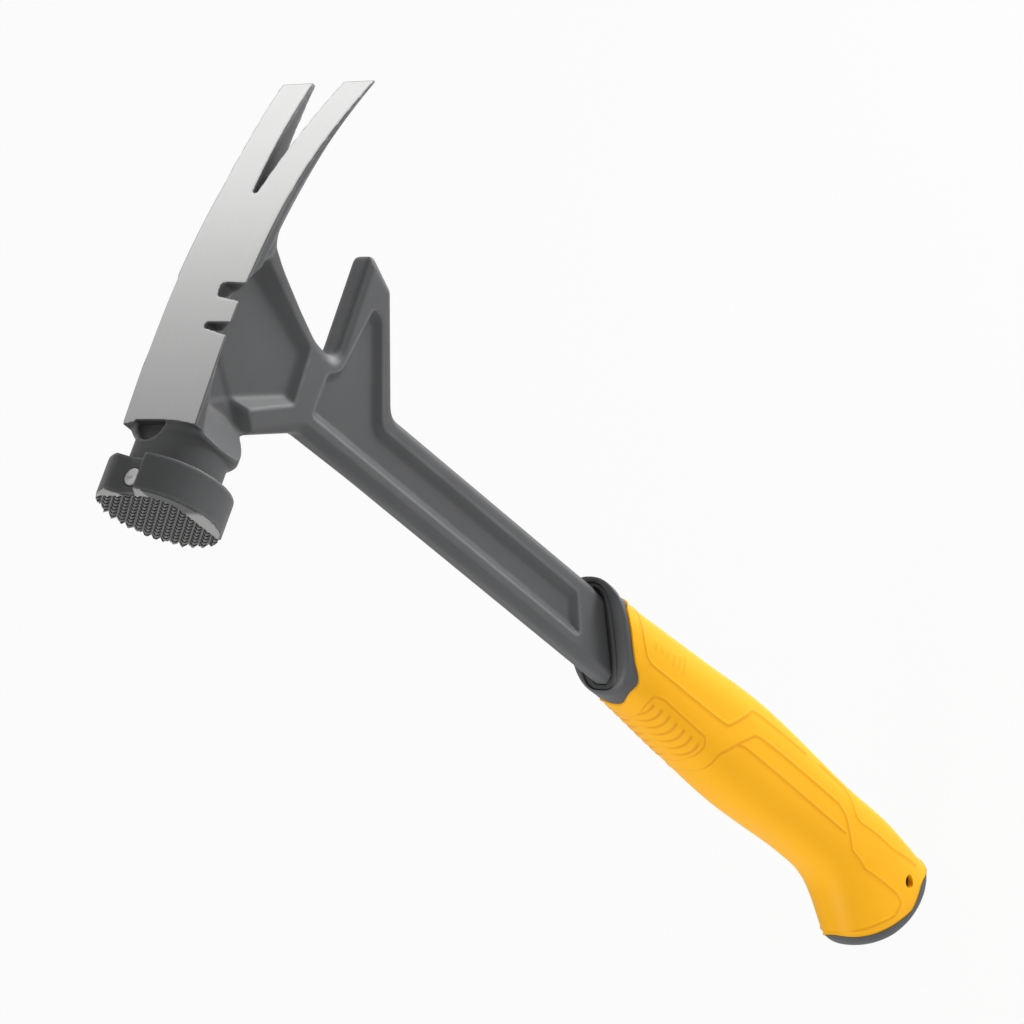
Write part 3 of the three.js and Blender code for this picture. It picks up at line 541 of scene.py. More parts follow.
def walls(foot, x, z):
    """Rise of a pocket's walls: level inside the line of their foot, a slope outside it."""
    rise = np.zeros_like(x + z)
    for (ax, az), (bx, bz) in zip(foot[:-1], foot[1:]):
        outward = ((x - ax) * (bz - az) - (z - az) * (bx - ax)) / math.hypot(bx - ax, bz - az)
        rise = soft_meet(rise, WEB_POCKET_WALL * outward, WALL_BLEND)
    return rise


def web_pocket(side, rise):
    """Field of what lies between the floors of the web's two pockets, raised along their walls."""
    return (side - WEB_POCKET_FLOOR - rise) / math.hypot(1, WEB_POCKET_WALL)


def plate_field(x, side, z, sizes):
    """Shank, jaw and web: one outline at two thicknesses, with a pressed panel in each side of both.

    A panel's surface is its floor, or the highest of its sloping walls where that is higher.
    """
    outline = outline_distance(PLATE_OUTLINE, x, z)
    shank = chamfered_meet(outline, side - SHANK_HALF, drawn(sizes.shank_chamfer))
    web_half = WEB_FOOT_HALF + (z - WEB_FOOT) * WEB_TAPER
    web = rounded_meet(outline, side - web_half, WEB_EDGE)
    body = soft_join(shank, web, WEB_BLEND)
    rise = soft_join(walls(WEB_POCKET, x, z), walls(NECK_HOLLOW, x, z), HOLLOW_BLEND)
    body = rounded_meet(body, web_pocket(side, rise), POCKET_EDGE)
    wall = outline_distance(PANEL_OUTLINE, x, z) / SHANK_PANEL_WALL
    rise = soft_meet(np.zeros_like(wall), SHANK_PANEL_DEPTH * (1 + wall), PANEL_BLEND)
    steep = SHANK_PANEL_DEPTH / SHANK_PANEL_WALL
    return rounded_meet(body, (side - SHANK_PANEL_FLOOR - rise) / math.hypot(1, steep), PANEL_EDGE)


def poll_field(x, y, z, sizes):
    """Poll: a flange and a neck turned about one axis, with a waist between them.

    The neck has a flat on top and is hollowed on both sides, where the web's pockets run into it.
    """
    turned = np.hypot(y, z - POLL_AXIS)
    front = POLL_REACH + FACE_SETBACK
    middle, half = (front + FLANGE_REAR) / 2, (FLANGE_REAR - front) / 2
    flange = rounded_meet(turned - FACE_RADIUS, np.abs(x - middle) - half, FLANGE_EDGE)
    radius = mixed(WAIST_RADIUS, NECK_RADIUS, eased(WAIST_REAR, NECK_FRONT, x))
    neck = np.maximum(turned - radius, np.maximum(FLANGE_REAR - NECK_OVERLAP - x, x - NECK_REAR))
    neck = soft_meet(neck, z - NECK_FLAT, NECK_FLAT_BLEND)
    rise = np.maximum(walls(NECK_HOLLOW, x, z), WEB_POCKET_WALL * (NECK_WALL_FOOT - x))
    neck = rounded_meet(neck, web_pocket(np.abs(y), rise), PANEL_EDGE)
    return soft_join(flange, neck, drawn(sizes.cast_edge))


def land_reach(y, z):
    """Distance outwards from the toothed part of the strike face, negative among the teeth."""
    return rounded_meet(z - POLL_AXIS - LAND_TOP, -LAND_NEAR - y, LAND_CORNER)


def groove_field(y, z):
    """Groove for a nail along the poll: a level floor between a steep near bank and an easy far one."""
    steep = np.where(y < 0, NEAR_BANK, FAR_BANK)
    bank = soft_meet(np.zeros_like(y), steep * (np.abs(y) - GROOVE_HALF), GROOVE_BLEND)
    return (GROOVE_FLOOR + bank - z) / np.hypot(1, steep)


def forging_field(x, y, z, sizes):
    """Whole forging: strap, plate and poll joined with fillets, less all that is cut out of them.

    The cuts are the claw's slot, the two notches, the pocket for a nail's head, the seat of the toothed
    face, the magnet's bore and the nail groove. The collar hides the end of the shank.
    """
    side = np.abs(y)
    plate = plate_field(x, side, z, sizes)
    poll = poll_field(x, y, z, sizes)
    strap = strap_field(x, side, z, sizes)
    body = soft_join(plate, poll, drawn(sizes.neck_fillet))
    reach = mixed(FRONT_BLEND, drawn(sizes.web_fillet), eased(*FRONT_BLEND_ENDS, x))
    body = soft_join(body, strap, reach)
    body = np.where(x > STRAP_FRONT, np.maximum(body, z - strap_top(x)), body)
    spread = (SLOT_MOUTH_HALF - SLOT_APEX_HALF) / (CLAW_REACH - SLOT_APEX_X)
    apex = np.hypot(x - SLOT_APEX_X - SLOT_APEX_HALF, y) - SLOT_APEX_HALF
    slot = np.maximum(side - SLOT_APEX_HALF - (x - SLOT_APEX_X) * spread, SLOT_APEX_X + SLOT_APEX_HALF - x)
    cuts = [np.maximum(np.minimum(slot, apex), SLOT_FLOOR - z)]
    cuts += [np.maximum(outline_distance(points, x, y), NOTCH_FLOOR - z) for points in NOTCH_OUTLINES]
    pocket = np.maximum(np.hypot(x - POCKET_WALL, y - POCKET_Y) - POCKET_RADIUS, x - POCKET_WALL)
    cuts.append(np.maximum(pocket, POCKET_FLOOR - z))
    seat = x - POLL_REACH - drawn(sizes.tooth_depth) - FACE_SEAT
    cuts.append(np.maximum(seat, land_reach(y, z) - LAND_WALL))
    bore = np.hypot(x - MAGNET_X, y) - MAGNET_RADIUS - BORE_PLAY
    cuts.append(np.maximum(bore, MAGNET_TOP - MAGNET_LENGTH - z))
    for cut in cuts:
        body = rounded_meet(body, -cut, CUT_EDGE)
    body = rounded_meet(body, -np.maximum(groove_field(y, z), x - STRAP_FRONT), GROOVE_EDGE)
    return np.maximum(body, (SHANK_END + LIP_SLOPE * x - z) / math.hypot(1, LIP_SLOPE))


def surface_net(values):
    """Quads between the grid points inside a field and those outside.

    One vertex stands in each cell that the surface crosses, at the mean of the points on the cell's
    edges where the field changes sign. Each grid edge that is crossed has one quad round it.
    """
    inside = values < 0
    cells = np.array(values.shape) - 1
    corners = [(i, j, k) for i in (0, 1) for j in (0, 1) for k in (0, 1)]
    count = sum(inside[i:i + cells[0], j:j + cells[1], k:k + cells[2]].astype(np.int8) for i, j, k in corners)
    active = (count > 0) & (count < len(corners))
    at = np.argwhere(active)
    number = np.full(active.shape, -1)
    number[active] = np.arange(len(at))
    total, hits = np.zeros((len(at), 3)), np.zeros((len(at), 1))
    for axis in range(3):
        unit = np.eye(3, dtype=int)[axis]
        for corner in corners:
            if corner[axis]:
                continue
            first = values[tuple((at + corner).T)]
            second = values[tuple((at + corner + unit).T)]
            crossed = ((first < 0) != (second < 0))[:, None]
            share = np.where(crossed, (first / np.where(first == second, 1, first - second))[:, None], 0)
            total += crossed * (np.array(corner) + share * unit)
            hits += crossed
    quads = []
    for axis in range(3):
        u, v = (axis + 1) % 3, (axis + 2) % 3
        step_u, step_v = np.eye(3, dtype=int)[u], np.eye(3, dtype=int)[v]
        first = np.take(inside, np.arange(cells[axis]), axis)
        second = np.take(inside, np.arange(1, cells[axis] + 1), axis)
        edges = np.argwhere(first != second)
        kept = (edges[:, [u, v]] > 0).all(1) & (edges[:, [u, v]] < cells[[u, v]]).all(1)
        edges = edges[kept]
        round_edge = [edges, edges - step_u, edges - step_u - step_v, edges - step_v]
        quad = np.stack([number[tuple(cell.T)] for cell in round_edge], 1)
        outward = first[tuple(edges.T)]
        quads.append(np.where(outward[:, None], quad, quad[:, ::-1]))
    return at + total / hits, np.concatenate(quads)


def slopes(field, points, gap=0.02):
    """Gradient of a field, from its values a small gap to both sides of each point."""
    parts = [
        field(*(points + gap * unit).T) - field(*(points - gap * unit).T) for unit in np.eye(3)]
    return np.stack(parts, 1) / (2 * gap)


def settled(field, points):
    """Points moved onto the surface: each step goes against the gradient by the field over its size."""
    for _ in range(SETTLE_ROUNDS):
        gradient = slopes(field, points)
        step = field(*points.T) / np.maximum((gradient ** 2).sum(1), SETTLE_FLATTEST)
        points = points - np.clip(step, -SETTLE_LIMIT, SETTLE_LIMIT)[:, None] * gradient
    return points


def forging_mesh(sizes):
    """The forging's surface on a grid that follows the strap: its upright axis starts at the strap's top.

    Wear grows where the metal just under a point is thinner than under a flat face, as it is at edges, and
    its paleness there is also a painted highlight. The jaw's level face takes painted light, and the throat a
    painted highlight.
    """
    def field(*place):
        return forging_field(*place, sizes)

    step = drawn(sizes.net_step)
    x = np.arange(POLL_REACH, CLAW_REACH + 2 * NET_MARGIN, step)
    y = np.arange(-FACE_RADIUS - NET_MARGIN, FACE_RADIUS + NET_MARGIN + step, step)
    drop = np.arange(*NET_DROPS, step)
    slabs = []
    for part in np.array_split(x, NET_SLABS):
        across = part[:, None, None]
        slabs.append(field(across, y[None, :, None], drop + strap_top(across)))
    at, quads = surface_net(np.concatenate(slabs))
    along = x[0] + at[:, 0] * step
    points = np.stack([along, y[0] + at[:, 1] * step, drop[0] + at[:, 2] * step + strap_top(along)], 1)
    points = settled(field, points)
    normals = slopes(field, points)
    steep = np.linalg.norm(normals, axis=1)
    normals /= steep[:, None]
    # Thin metal under a point marks an edge: rubbed paint there, paler also as a painted highlight
    thin = field(*(points - WEAR_HIGHLIGHT_DEPTH * normals).T) / steep + WEAR_HIGHLIGHT_DEPTH
    wear = np.clip(thin / (WEAR_HIGHLIGHT_RANGE * WEAR_HIGHLIGHT_DEPTH), 0, 1)
    along, _, height = points.T
    # Painted light on the jaw's upward level face
    jaw = eased(*JAW_LEVEL, normals[:, 2]) * eased(*JAW_START, along) * eased(*JAW_TOP, height)
    # Painted highlight round the throat's fillet
    throat = np.exp(-((along - THROAT_X) ** 2 + (height - THROAT_HEIGHT) ** 2) / THROAT_SPREAD)
    return points, quads, {"wear": np.maximum(np.maximum(wear, JAW_PAINTED_LIGHT * jaw), THROAT_PAINTED_HIGHLIGHT * throat)}


def strike_face_mesh(sizes):
    """Strike face: height over the floor is the lesser of two triangle waves that cross at 45 degrees.

    The waves run out into plain lands above and on the near side. The grid's outer points are drawn in
    to the rim, which is a circle less the nail groove, and a flat back closes the piece. Each cell is cut
    along the diagonal that the edges of its tooth follow.
    """
    pitch, depth = drawn(sizes.tooth_pitch), drawn(sizes.tooth_depth)
    rim = FACE_RADIUS - FACE_INSET
    step = pitch / TOOTH_STEPS
    count = math.ceil(rim / step) + 2
    line = np.arange(-count, count + 1) * step
    u, v = np.meshgrid(line + TOOTH_PHASE, line, indexing="ij")
    y, z = (u - v) * math.sqrt(0.5), (u + v) * math.sqrt(0.5)

    def edge(a, b):
        return np.maximum(np.hypot(a, b) - rim, FACE_GROOVE_GAP - groove_field(a, b + POLL_AXIS))

    def wave(s):
        return np.abs((s / pitch) % 1 - 0.5) * 2

    def from_peak(s):
        return ((s + step / 2) / pitch + 0.5) % 1 - 0.5

    inside = edge(y, z) < 0
    near = np.zeros_like(inside)
    cell = inside[:-1, :-1] & inside[1:, :-1] & inside[:-1, 1:] & inside[1:, 1:]
    cell |= edge((y[:-1, :-1] + y[1:, 1:]) / 2, (z[:-1, :-1] + z[1:, 1:]) / 2) < 0
    for i, j in ((0, 0), (1, 0), (1, 1), (0, 1)):
        near[i:i + cell.shape[0], j:j + cell.shape[1]] |= cell
    gap = 0.01
    for _ in range(RIM_ROUNDS):
        out = edge(y, z)
        slope_y = (edge(y + gap, z) - edge(y - gap, z)) / (2 * gap)
        slope_z = (edge(y, z + gap) - edge(y, z - gap)) / (2 * gap)
        move = np.where(out > 0, out, 0)
        y, z = y - move * slope_y, z - move * slope_z
    land = eased(LAND_START, TOOTH_RUN_OUT, land_reach(y, z + POLL_AXIS))
    lift = depth * np.maximum(np.minimum(wave(u - TOOTH_PHASE), wave(v)), land)
    number = np.full(near.shape, -1)
    number[near] = np.arange(near.sum())
    front = np.stack([POLL_REACH + depth - lift[near], y[near], z[near] + POLL_AXIS], 1)
    back = front.copy()
    back[:, 0] = POLL_REACH + depth + FACE_BACK
    i, j = np.nonzero(cell)
    quads = np.stack([number[i, j], number[i, j + 1], number[i + 1, j + 1], number[i + 1, j]], 1)
    rising = from_peak(line[i]) * from_peak(line[j]) > 0
    first = np.where(rising[:, None], quads[:, [0, 1, 2]], quads[:, [0, 1, 3]])
    second = np.where(rising[:, None], quads[:, [0, 2, 3]], quads[:, [1, 2, 3]])
    total = len(front)
    rims = rim_edges(quads)
    skirt = np.stack([rims[:, 1], rims[:, 0], rims[:, 0] + total, rims[:, 1] + total], 1)
    faces = first.tolist() + second.tolist() + (quads[:, ::-1] + total).tolist() + skirt.tolist()
    return np.concatenate([front, back]), faces, {"land": np.concatenate([land[near], np.zeros(total)])}


def rim_edges(quads):
    """Edges that only one quad uses, in the direction that the quad runs along them."""
    edges = np.concatenate([quads[:, [i, (i + 1) % 4]] for i in range(4)])
    key = np.sort(edges, 1)
    _, first, count = np.unique(key, axis=0, return_index=True, return_counts=True)
    return edges[first[count == 1]]


def turned_mesh(profile, axis, steps=TURN_STEPS):
    """A closed profile of radius and height, carried round an upright or level axis."""
    angle = np.linspace(0, 2 * math.pi, steps, endpoint=False)[:, None]
    radius, height = np.array(profile, float).T
    right, front = radius * np.cos(angle), radius * np.sin(angle)
    rise = np.broadcast_to(height, right.shape)
    order = (right, front, rise) if axis == "Z" else (front, rise, right)
    points = np.stack(order, 2)
    return points.reshape(-1, 3), ring_quads(*right.shape)


def ring_quads(rows, columns):
    """Quads of a grid that closes on itself both ways."""
    row, column = np.meshgrid(np.arange(rows), np.arange(columns), indexing="ij")
    after, beside = (row + 1) % rows, (column + 1) % columns
    corners = [(row, column), (after, column), (after, beside), (row, beside)]
    return np.stack([r * columns + c for r, c in corners], 2).reshape(-1, 4)


# Grip


def through(values, share):
    """Cubic curve through evenly spaced values, whose slope at each is that between its neighbours."""
    last = len(values) - 1
    place = np.clip(share, 0, 1) * last
    i = np.minimum(np.floor(place).astype(int), last - 1)
    w = place - i
    before, here = values[np.maximum(i - 1, 0)], values[i]
    there, after = values[i + 1], values[np.minimum(i + 2, last)]
    leave, arrive = (there - before) / 2, (after - here) / 2
    cubic = 2 * here - 2 * there + leave + arrive
    square = -3 * here + 3 * there - 2 * leave - arrive
    return cubic * w ** 3 + square * w ** 2 + leave * w + here


def powered(value, power):
    """A power of the value that keeps its sign."""
    return np.sign(value) * np.abs(value) ** power


def grip_point(q, angle, margin=0.0):
    """Point of the grip: an oval between two edge curves, carried from the lip to a domed butt.

    q runs from 0 at the lip to 1 at the last section; what it has over 1 is the dome's angle. The oval
    is a superellipse, and the margin draws it in from the outer surface.
    """
    height, width, slope, shift, thickness = GRIP_STATIONS.T
    claw_x, face_x = (through(shift + sign * width / 2, q) for sign in (1, -1))
    claw_z, face_z = (through(height + sign * slope * width / 2, q) for sign in (1, -1))
    lean = np.maximum(q - 1, 0)
    drawn_in = 1 - 2 * margin / (claw_x - face_x)
    arm_x, arm_z = (claw_x - face_x) / 2 * drawn_in, (claw_z - face_z) / 2 * drawn_in
    size = np.hypot(arm_x, arm_z)
    bulge = (BUTT_DOME - margin) * np.sin(lean)
    out_x, out_z = arm_z / size * bulge, -arm_x / size * bulge
    across = powered(np.cos(angle), GRIP_POWER) * np.cos(lean)
    half = (through(thickness, q) / 2 - margin) * np.maximum(np.cos(lean), 0) ** DOME_FULLNESS
    y = half * powered(np.sin(angle), GRIP_POWER)
    x = (claw_x + face_x) / 2 + out_x + arm_x * across
    z = (claw_z + face_z) / 2 + out_z + arm_z * across
    return np.stack(np.broadcast_arrays(x, y, z), -1)


def even_angles(count):
    """Angles that cut a middling oval of the grip into equal lengths, from the middle of the near side."""
    fine = np.linspace(-math.pi / 2, 1.5 * math.pi, RING_STEPS)
    ring = grip_point(np.full_like(fine, 0.5), fine)
    run = np.concatenate([[0], np.cumsum(np.linalg.norm(np.diff(ring, axis=0), axis=1))])
    return np.interp(np.arange(count) / count * run[-1], run, fine)


class GripChart:
    """Lengths along and round the grip's surface, at each of a set of angles.

    Along is measured from the lip down the middle of a side, round from that middle line, positive
    to the claw side. Both sides read the same, so what is drawn on one is mirrored on the other.
    """

    def __init__(self, count):
        self.angles = even_angles(count)
        self.q = np.linspace(0, CHART_END, CHART_ROWS)
        table = grip_point(self.q[:, None], self.angles[None, :])
        middle = table[:, 0]
        run = np.linalg.norm(np.diff(middle, axis=0), axis=1)
        self.along = np.concatenate([[0], np.cumsum(run)])
        closed = np.concatenate([table, table[:, :1]], 1)
        ring = np.cumsum(np.linalg.norm(np.diff(closed, axis=1), axis=2), axis=1)
        whole = ring[:, -1:]
        reach = np.concatenate([np.zeros_like(whole), ring[:, :-1]], 1)
        claw = np.minimum(reach, whole / 2 - reach)
        face = np.minimum(reach - whole / 2, whole - reach)
        self.round = np.where(reach < whole / 2, claw, -face)

    def at(self, q):
        """Lengths along and round at the rows of q given for every angle."""
        along = np.interp(q, self.q, self.along)
        place = np.clip(q / CHART_END * (CHART_ROWS - 1), 0, CHART_ROWS - 2)
        row = place.astype(int)
        share = place - row
        column = np.arange(len(self.angles))
        return along, mixed(self.round[row, column], self.round[row + 1, column], share)

    def down(self, along):
        """q at a length along the grip."""
        return np.interp(along, self.along, self.q)


def collar_edge(chart):
    """Length along the grip at which the collar ends, at each angle.

    It is a running mean of the drawn line, and a bell deeper near the face side's edge on the far side.
    """
    reach, along = np.array(COLLAR_LINE).T
    around = chart.at(np.full(len(chart.angles), EDGE_Q))[1]
    steps = np.linspace(reach[0], reach[-1], EDGE_STEPS)
    padded = np.pad(np.interp(steps, reach, along), EDGE_BLUR // 2, mode="edge")
    line = np.convolve(padded, np.ones(EDGE_BLUR) / EDGE_BLUR, "valid")
    dip = COLLAR_DIP * bell(around - COLLAR_DIP_AROUND, COLLAR_DIP_HALF)
    return np.interp(around, steps, line) + np.where(np.sin(chart.angles) > 0, dip, 0)


def seat_angle(angle):
    """Angle of the dome at which the butt cap starts: where an ellipse cuts it, and less at the claw side.

    At the heel, the corner on the claw side, it is lowered once more, and the cap climbs onto the grip.
    """
    _, width, slope, *_ = GRIP_STATIONS[-1]
    reach = width / 2 * math.hypot(1, slope)
    across = powered(np.cos(angle), GRIP_POWER)
    level = (reach * across / (reach + CAP_OVERHANG)) ** 2
    full = (BUTT_DOME / (BUTT_DOME - CAP_THICKNESS)) ** 2
    cut = np.arcsin(np.sqrt((1 - level) / (full - level)))
    return cut * (1 - CAP_RISE * eased(*CAP_RISE_ENDS, across)) - CAP_HEEL * eased(*CAP_HEEL_ENDS, across)


def grid_normals(points):
    """Outward unit normals of a tube's grid: cross products of its differences along and round."""
    along = np.gradient(points, axis=0)
    ahead, behind = np.roll(points, -1, 1), np.roll(points, 1, 1)
    normal = np.cross(along, behind - ahead)
    return normal / np.maximum(np.linalg.norm(normal, axis=2, keepdims=True), TINY)


def bell(distance, half):
    """Share from 1 at no distance down to 0 far off, along a bell curve."""
    return np.exp(-(distance / half) ** 2)


def skin_relief(along, around, across, sizes):
    """Height of the skin over its plain form, and how much painted shade each point takes in a line, a rib
    gap or a tick.

    A line is a round valley: a bell of the distance from it. The gaps between the finger ribs are such
    valleys too, evenly spaced inside the rib field and bent back towards the face side. Ticks are short
    lines. Valleys fade out at the grip's two edges, where across is 1.
    """
    near = np.full(along.shape, np.inf)
    for line in SKIN_LINES:
        near = np.minimum(near, line_distance(rounded(line), along, around))
    crease = bell(near, drawn(sizes.line_half))
    inside = eased(0, RIB_INSET, -outline_distance(np.array(RIB_FIELD, float), along, around))
    pitch = drawn(sizes.rib_pitch)
    lean = along - FIRST_RIB + RIB_CURVE * np.maximum(RIB_BEND - around, 0) ** 2
    gap = inside * bell(np.abs((lean / pitch + 0.5) % 1 - 0.5) * pitch, RIB_GAP_HALF)
    bars = [[(a, low), (a + TICK_LEAN * (high - low), high)] for a, low, high in TICKS]
    ticks = sum(bell(line_distance(bar, along, around), TICK_HALF) for bar in bars)
    fade = eased(*LINE_FADE, across)
    valleys = drawn(sizes.line_depth) * crease + drawn(sizes.rib_depth) * gap * eased(*RIB_FADE, across)
    valleys += drawn(sizes.tick_depth) * ticks
    # Painted shade: the lines, the rib gaps and the ticks are darkened in colour as well as pressed in
    shade = crease * mixed(0.5, 1, fade) + gap * eased(*RIB_SHADE, around) + TICK_SHADE * ticks
    return -fade * valleys, np.clip(shade, 0, 1)


def skin_mesh(sizes):
    """Soft skin: the grip's form with its relief, turned in at both ends and closed by an inner wall."""
    chart = GripChart(sizes.grip_columns)
    gap = drawn(sizes.parting)
    seat = seat_angle(chart.angles)
    start = collar_edge(chart) + gap
    end = np.interp(1 + seat, chart.q, chart.along) - gap
    share = np.linspace(0, 1, sizes.grip_rows)[:, None]
    q = chart.down(mixed(start, end, share))
    along, around = chart.at(q)
    points = grip_point(q, chart.angles)
    height, crease = skin_relief(along, around, np.abs(np.cos(chart.angles)), sizes)
    lip = round_edge(along - start, SKIN_EDGE) + round_edge(end - along, SKIN_EDGE)
    points = points + (height * (1 - lip) - SKIN_TUCK * lip)[..., None] * grid_normals(points)
    inner_share = np.linspace(*INNER_SHARES)[:, None]
    inner_q = np.minimum(chart.down(mixed(start, end, inner_share)), 1 + seat / 2)
    inner = grip_point(inner_q, chart.angles, drawn(sizes.skin_wall))
    rows = np.concatenate([points, inner])
    # The crease values are the painted shade of the lines; the inner wall takes none
    shade = np.concatenate([crease, np.zeros(inner.shape[:2])])
    return rows.reshape(-1, 3), ring_quads(*rows.shape[:2]), {"crease": shade.ravel()}


def round_edge(distance, reach):
    """Share from 1 at an edge to 0 a reach away from it, rounded like the edge of a moulding."""
    share = np.clip(1 - distance / reach, 0, 1)
    return 1 - np.sqrt(1 - share ** 2)


def cap_mesh(sizes):
    """Butt cap: the rest of the dome, closed by the seat that it shares with the skin.

    The seat's points are the rim drawn in to the middle, where they are lifted clear of the core.
    """
    rows, columns = CAP_GRID
    angles = even_angles(columns)
    rim = seat_angle(angles)
    lean = mixed(rim, CAP_POLE, np.linspace(0, 1, rows)[:, None] ** CAP_SPACING)
    dome = grip_point(1 + lean, angles)
    edge = round_edge((lean - rim) * BUTT_DOME, CAP_EDGE)[..., None]
    dome = dome - CAP_TUCK * edge * grid_normals(dome)
    middle = grip_point(np.array(1.0), np.array([0.0, math.pi]))
    centre, arm = middle.mean(0), (middle[0] - middle[1]) / 2
    arm /= np.linalg.norm(arm)
    outward = np.array([arm[2], 0, -arm[0]])
    draw = np.linspace(*SEAT_SHARES)[:, None, None]
    offset = dome[0] - centre
    rise = (offset @ outward)[:, None] * outward
    lift = (BUTT_DOME - CAP_THICKNESS + drawn(sizes.parting)) * outward
    seat = centre + draw * (offset - rise) + mixed(lift, rise, draw ** 2)
    return capped(np.concatenate([seat, dome]))


def capped(rows):
    """A tube of rings whose first and last rings are closed by a fan to their middles."""
    count, columns = rows.shape[:2]
    last = (count - 1) * columns
    quads = ring_quads(count, columns)[:last]
    ends = rows[[0, -1]].mean(1)
    points = np.concatenate([rows.reshape(-1, 3), ends])
    column = np.arange(columns)
    beside = (column + 1) % columns
    low = np.stack([column, beside, np.full(columns, count * columns)], 1)
    high = np.stack([last + beside, last + column, np.full(columns, count * columns + 1)], 1)
    return points, quads.tolist() + low.tolist() + high.tolist()


def on_lip(place, drop):
    """Points a drop under the sloping plane of the collar's lip, at places seen along the shank."""
    x, y = place
    return np.stack(np.broadcast_arrays(x, y, LIP_HEIGHT - drop + LIP_SLOPE * x), -1)


def nose(angle, gap=0.0):
    """Outline of the core's nose, seen along the shank: a squarer superellipse, drawn in by a gap."""
    across = (NOSE_HALF_X - gap) * powered(np.cos(angle), NOSE_POWER)
    return np.stack([across, (NOSE_HALF_Y - gap) * powered(np.sin(angle), NOSE_POWER)])


def collar_mesh():
    """Collar: the grip's form from its edge with the skin, over a rounded lip and down the bore.

    It swells towards the lip on the claw side. The lip is a quarter of an ellipse between the shoulder,
    where the grip's form ends, and a crest near the bore.
    """
    rows, columns = COLLAR_GRID
    chart = GripChart(columns)
    claw_side = np.cos(chart.angles)
    edge = collar_edge(chart)
    share = np.linspace(0, 1, rows)[:, None]
    lip = mixed(COLLAR_LIP, COLLAR_LIP / 4, eased(*COLLAR_LIP_THINS, claw_side))
    outer = grip_point(chart.down(mixed(edge, lip, share)), chart.angles)
    rear = round_edge(share * (edge - lip), COLLAR_EDGE)
    swell = COLLAR_SWELL * eased(*SWELL_AROUND, claw_side) * eased(*SWELL_ALONG, share)
    outer = outer + (swell - COLLAR_TUCK * rear)[..., None] * grid_normals(outer)
    bore = nose(chart.angles)[:, None]
    shoulder, height = outer[-1, :, :2].T[:, None], outer[-1, :, 2]
    fall = np.maximum(LIP_HEIGHT + LIP_SLOPE * shoulder[0] - height, COLLAR_LEAST_FALL)
    crest = mixed(shoulder, bore, COLLAR_CREST)
    turn = np.linspace(0, math.pi / 2, COLLAR_ARC)[1:, None]
    arc = on_lip(mixed(crest, shoulder, np.cos(turn)), fall * (1 - np.sin(turn)))
    wall = on_lip(bore, np.array(COLLAR_BORE_DROPS)[:, None])
    rows = np.concatenate([outer, arc, wall])
    return rows.reshape(-1, 3), ring_quads(*rows.shape[:2])[:, ::-1]


def core_mesh(sizes):
    """Core: a pit for the shank, the nose round it, and a sleeve inside the skin down to the butt.

    The pit is the shank's section with its corners cut off, taken at the directions of the nose's points.
    """
    angle = even_angles(CORE_COLUMNS)
    ring = nose(angle, NOSE_GAP)
    turn = np.arctan2(ring[1], ring[0])
    direction = np.stack([np.cos(turn), np.sin(turn)])
    across, aside = np.maximum(np.abs(direction), TINY)
    corner = (SHANK_REACH + SHANK_HALF - drawn(sizes.shank_chamfer)) / (across + aside)
    fit = np.minimum(np.minimum(SHANK_REACH / across, SHANK_HALF / aside), corner) + PIT_PLAY
    pit = fit * direction
    rings = (
        (PIT_FLOOR * pit, PIT_DEPTH), (pit, PIT_DEPTH), (pit, NOSE_DROP + PIT_EDGE),
        (mixed(pit, ring, NOSE_CHAMFER), NOSE_DROP), (ring, NOSE_DROP), (ring, NOSE_FOOT),
    )
    rows = [on_lip(place, drop) for place, drop in rings]
    along = np.linspace(SLEEVE_START, 1, SLEEVE_ROWS)[:, None]
    sleeve = grip_point(along, angle, drawn(sizes.skin_wall) + SLEEVE_GAP)
    return capped(np.concatenate([rows, sleeve]))


def magnet_mesh():
    """Magnet: a disc with an eased upper edge, turned about its upright axis."""
    radius = MAGNET_RADIUS
    profile = [
        (TINY, -MAGNET_LENGTH), (radius, -MAGNET_LENGTH), (radius, -MAGNET_EDGE),
        (radius - MAGNET_BEVEL, -MAGNET_BEVEL), (radius - MAGNET_EDGE, 0), (TINY, 0),
    ]
    points, faces = turned_mesh(profile, "Z")
    return points + np.array([MAGNET_X, 0, MAGNET_TOP]), faces


def bush_mesh(sizes):
    """Bush: a level tube whose bore is eased at both ends."""
    bore, half, edge = drawn(sizes.bush_bore), BUSH_HALF, BUSH_EDGE
    outer = bore + BUSH_WALL
    profile = [
        (bore, -half + edge), (bore + edge, -half), (outer, -half), (outer, half), (bore + edge, half),
        (bore, half - edge),
    ]
    points, faces = turned_mesh(profile, "Y")
    return points + LANYARD, faces


# Materials


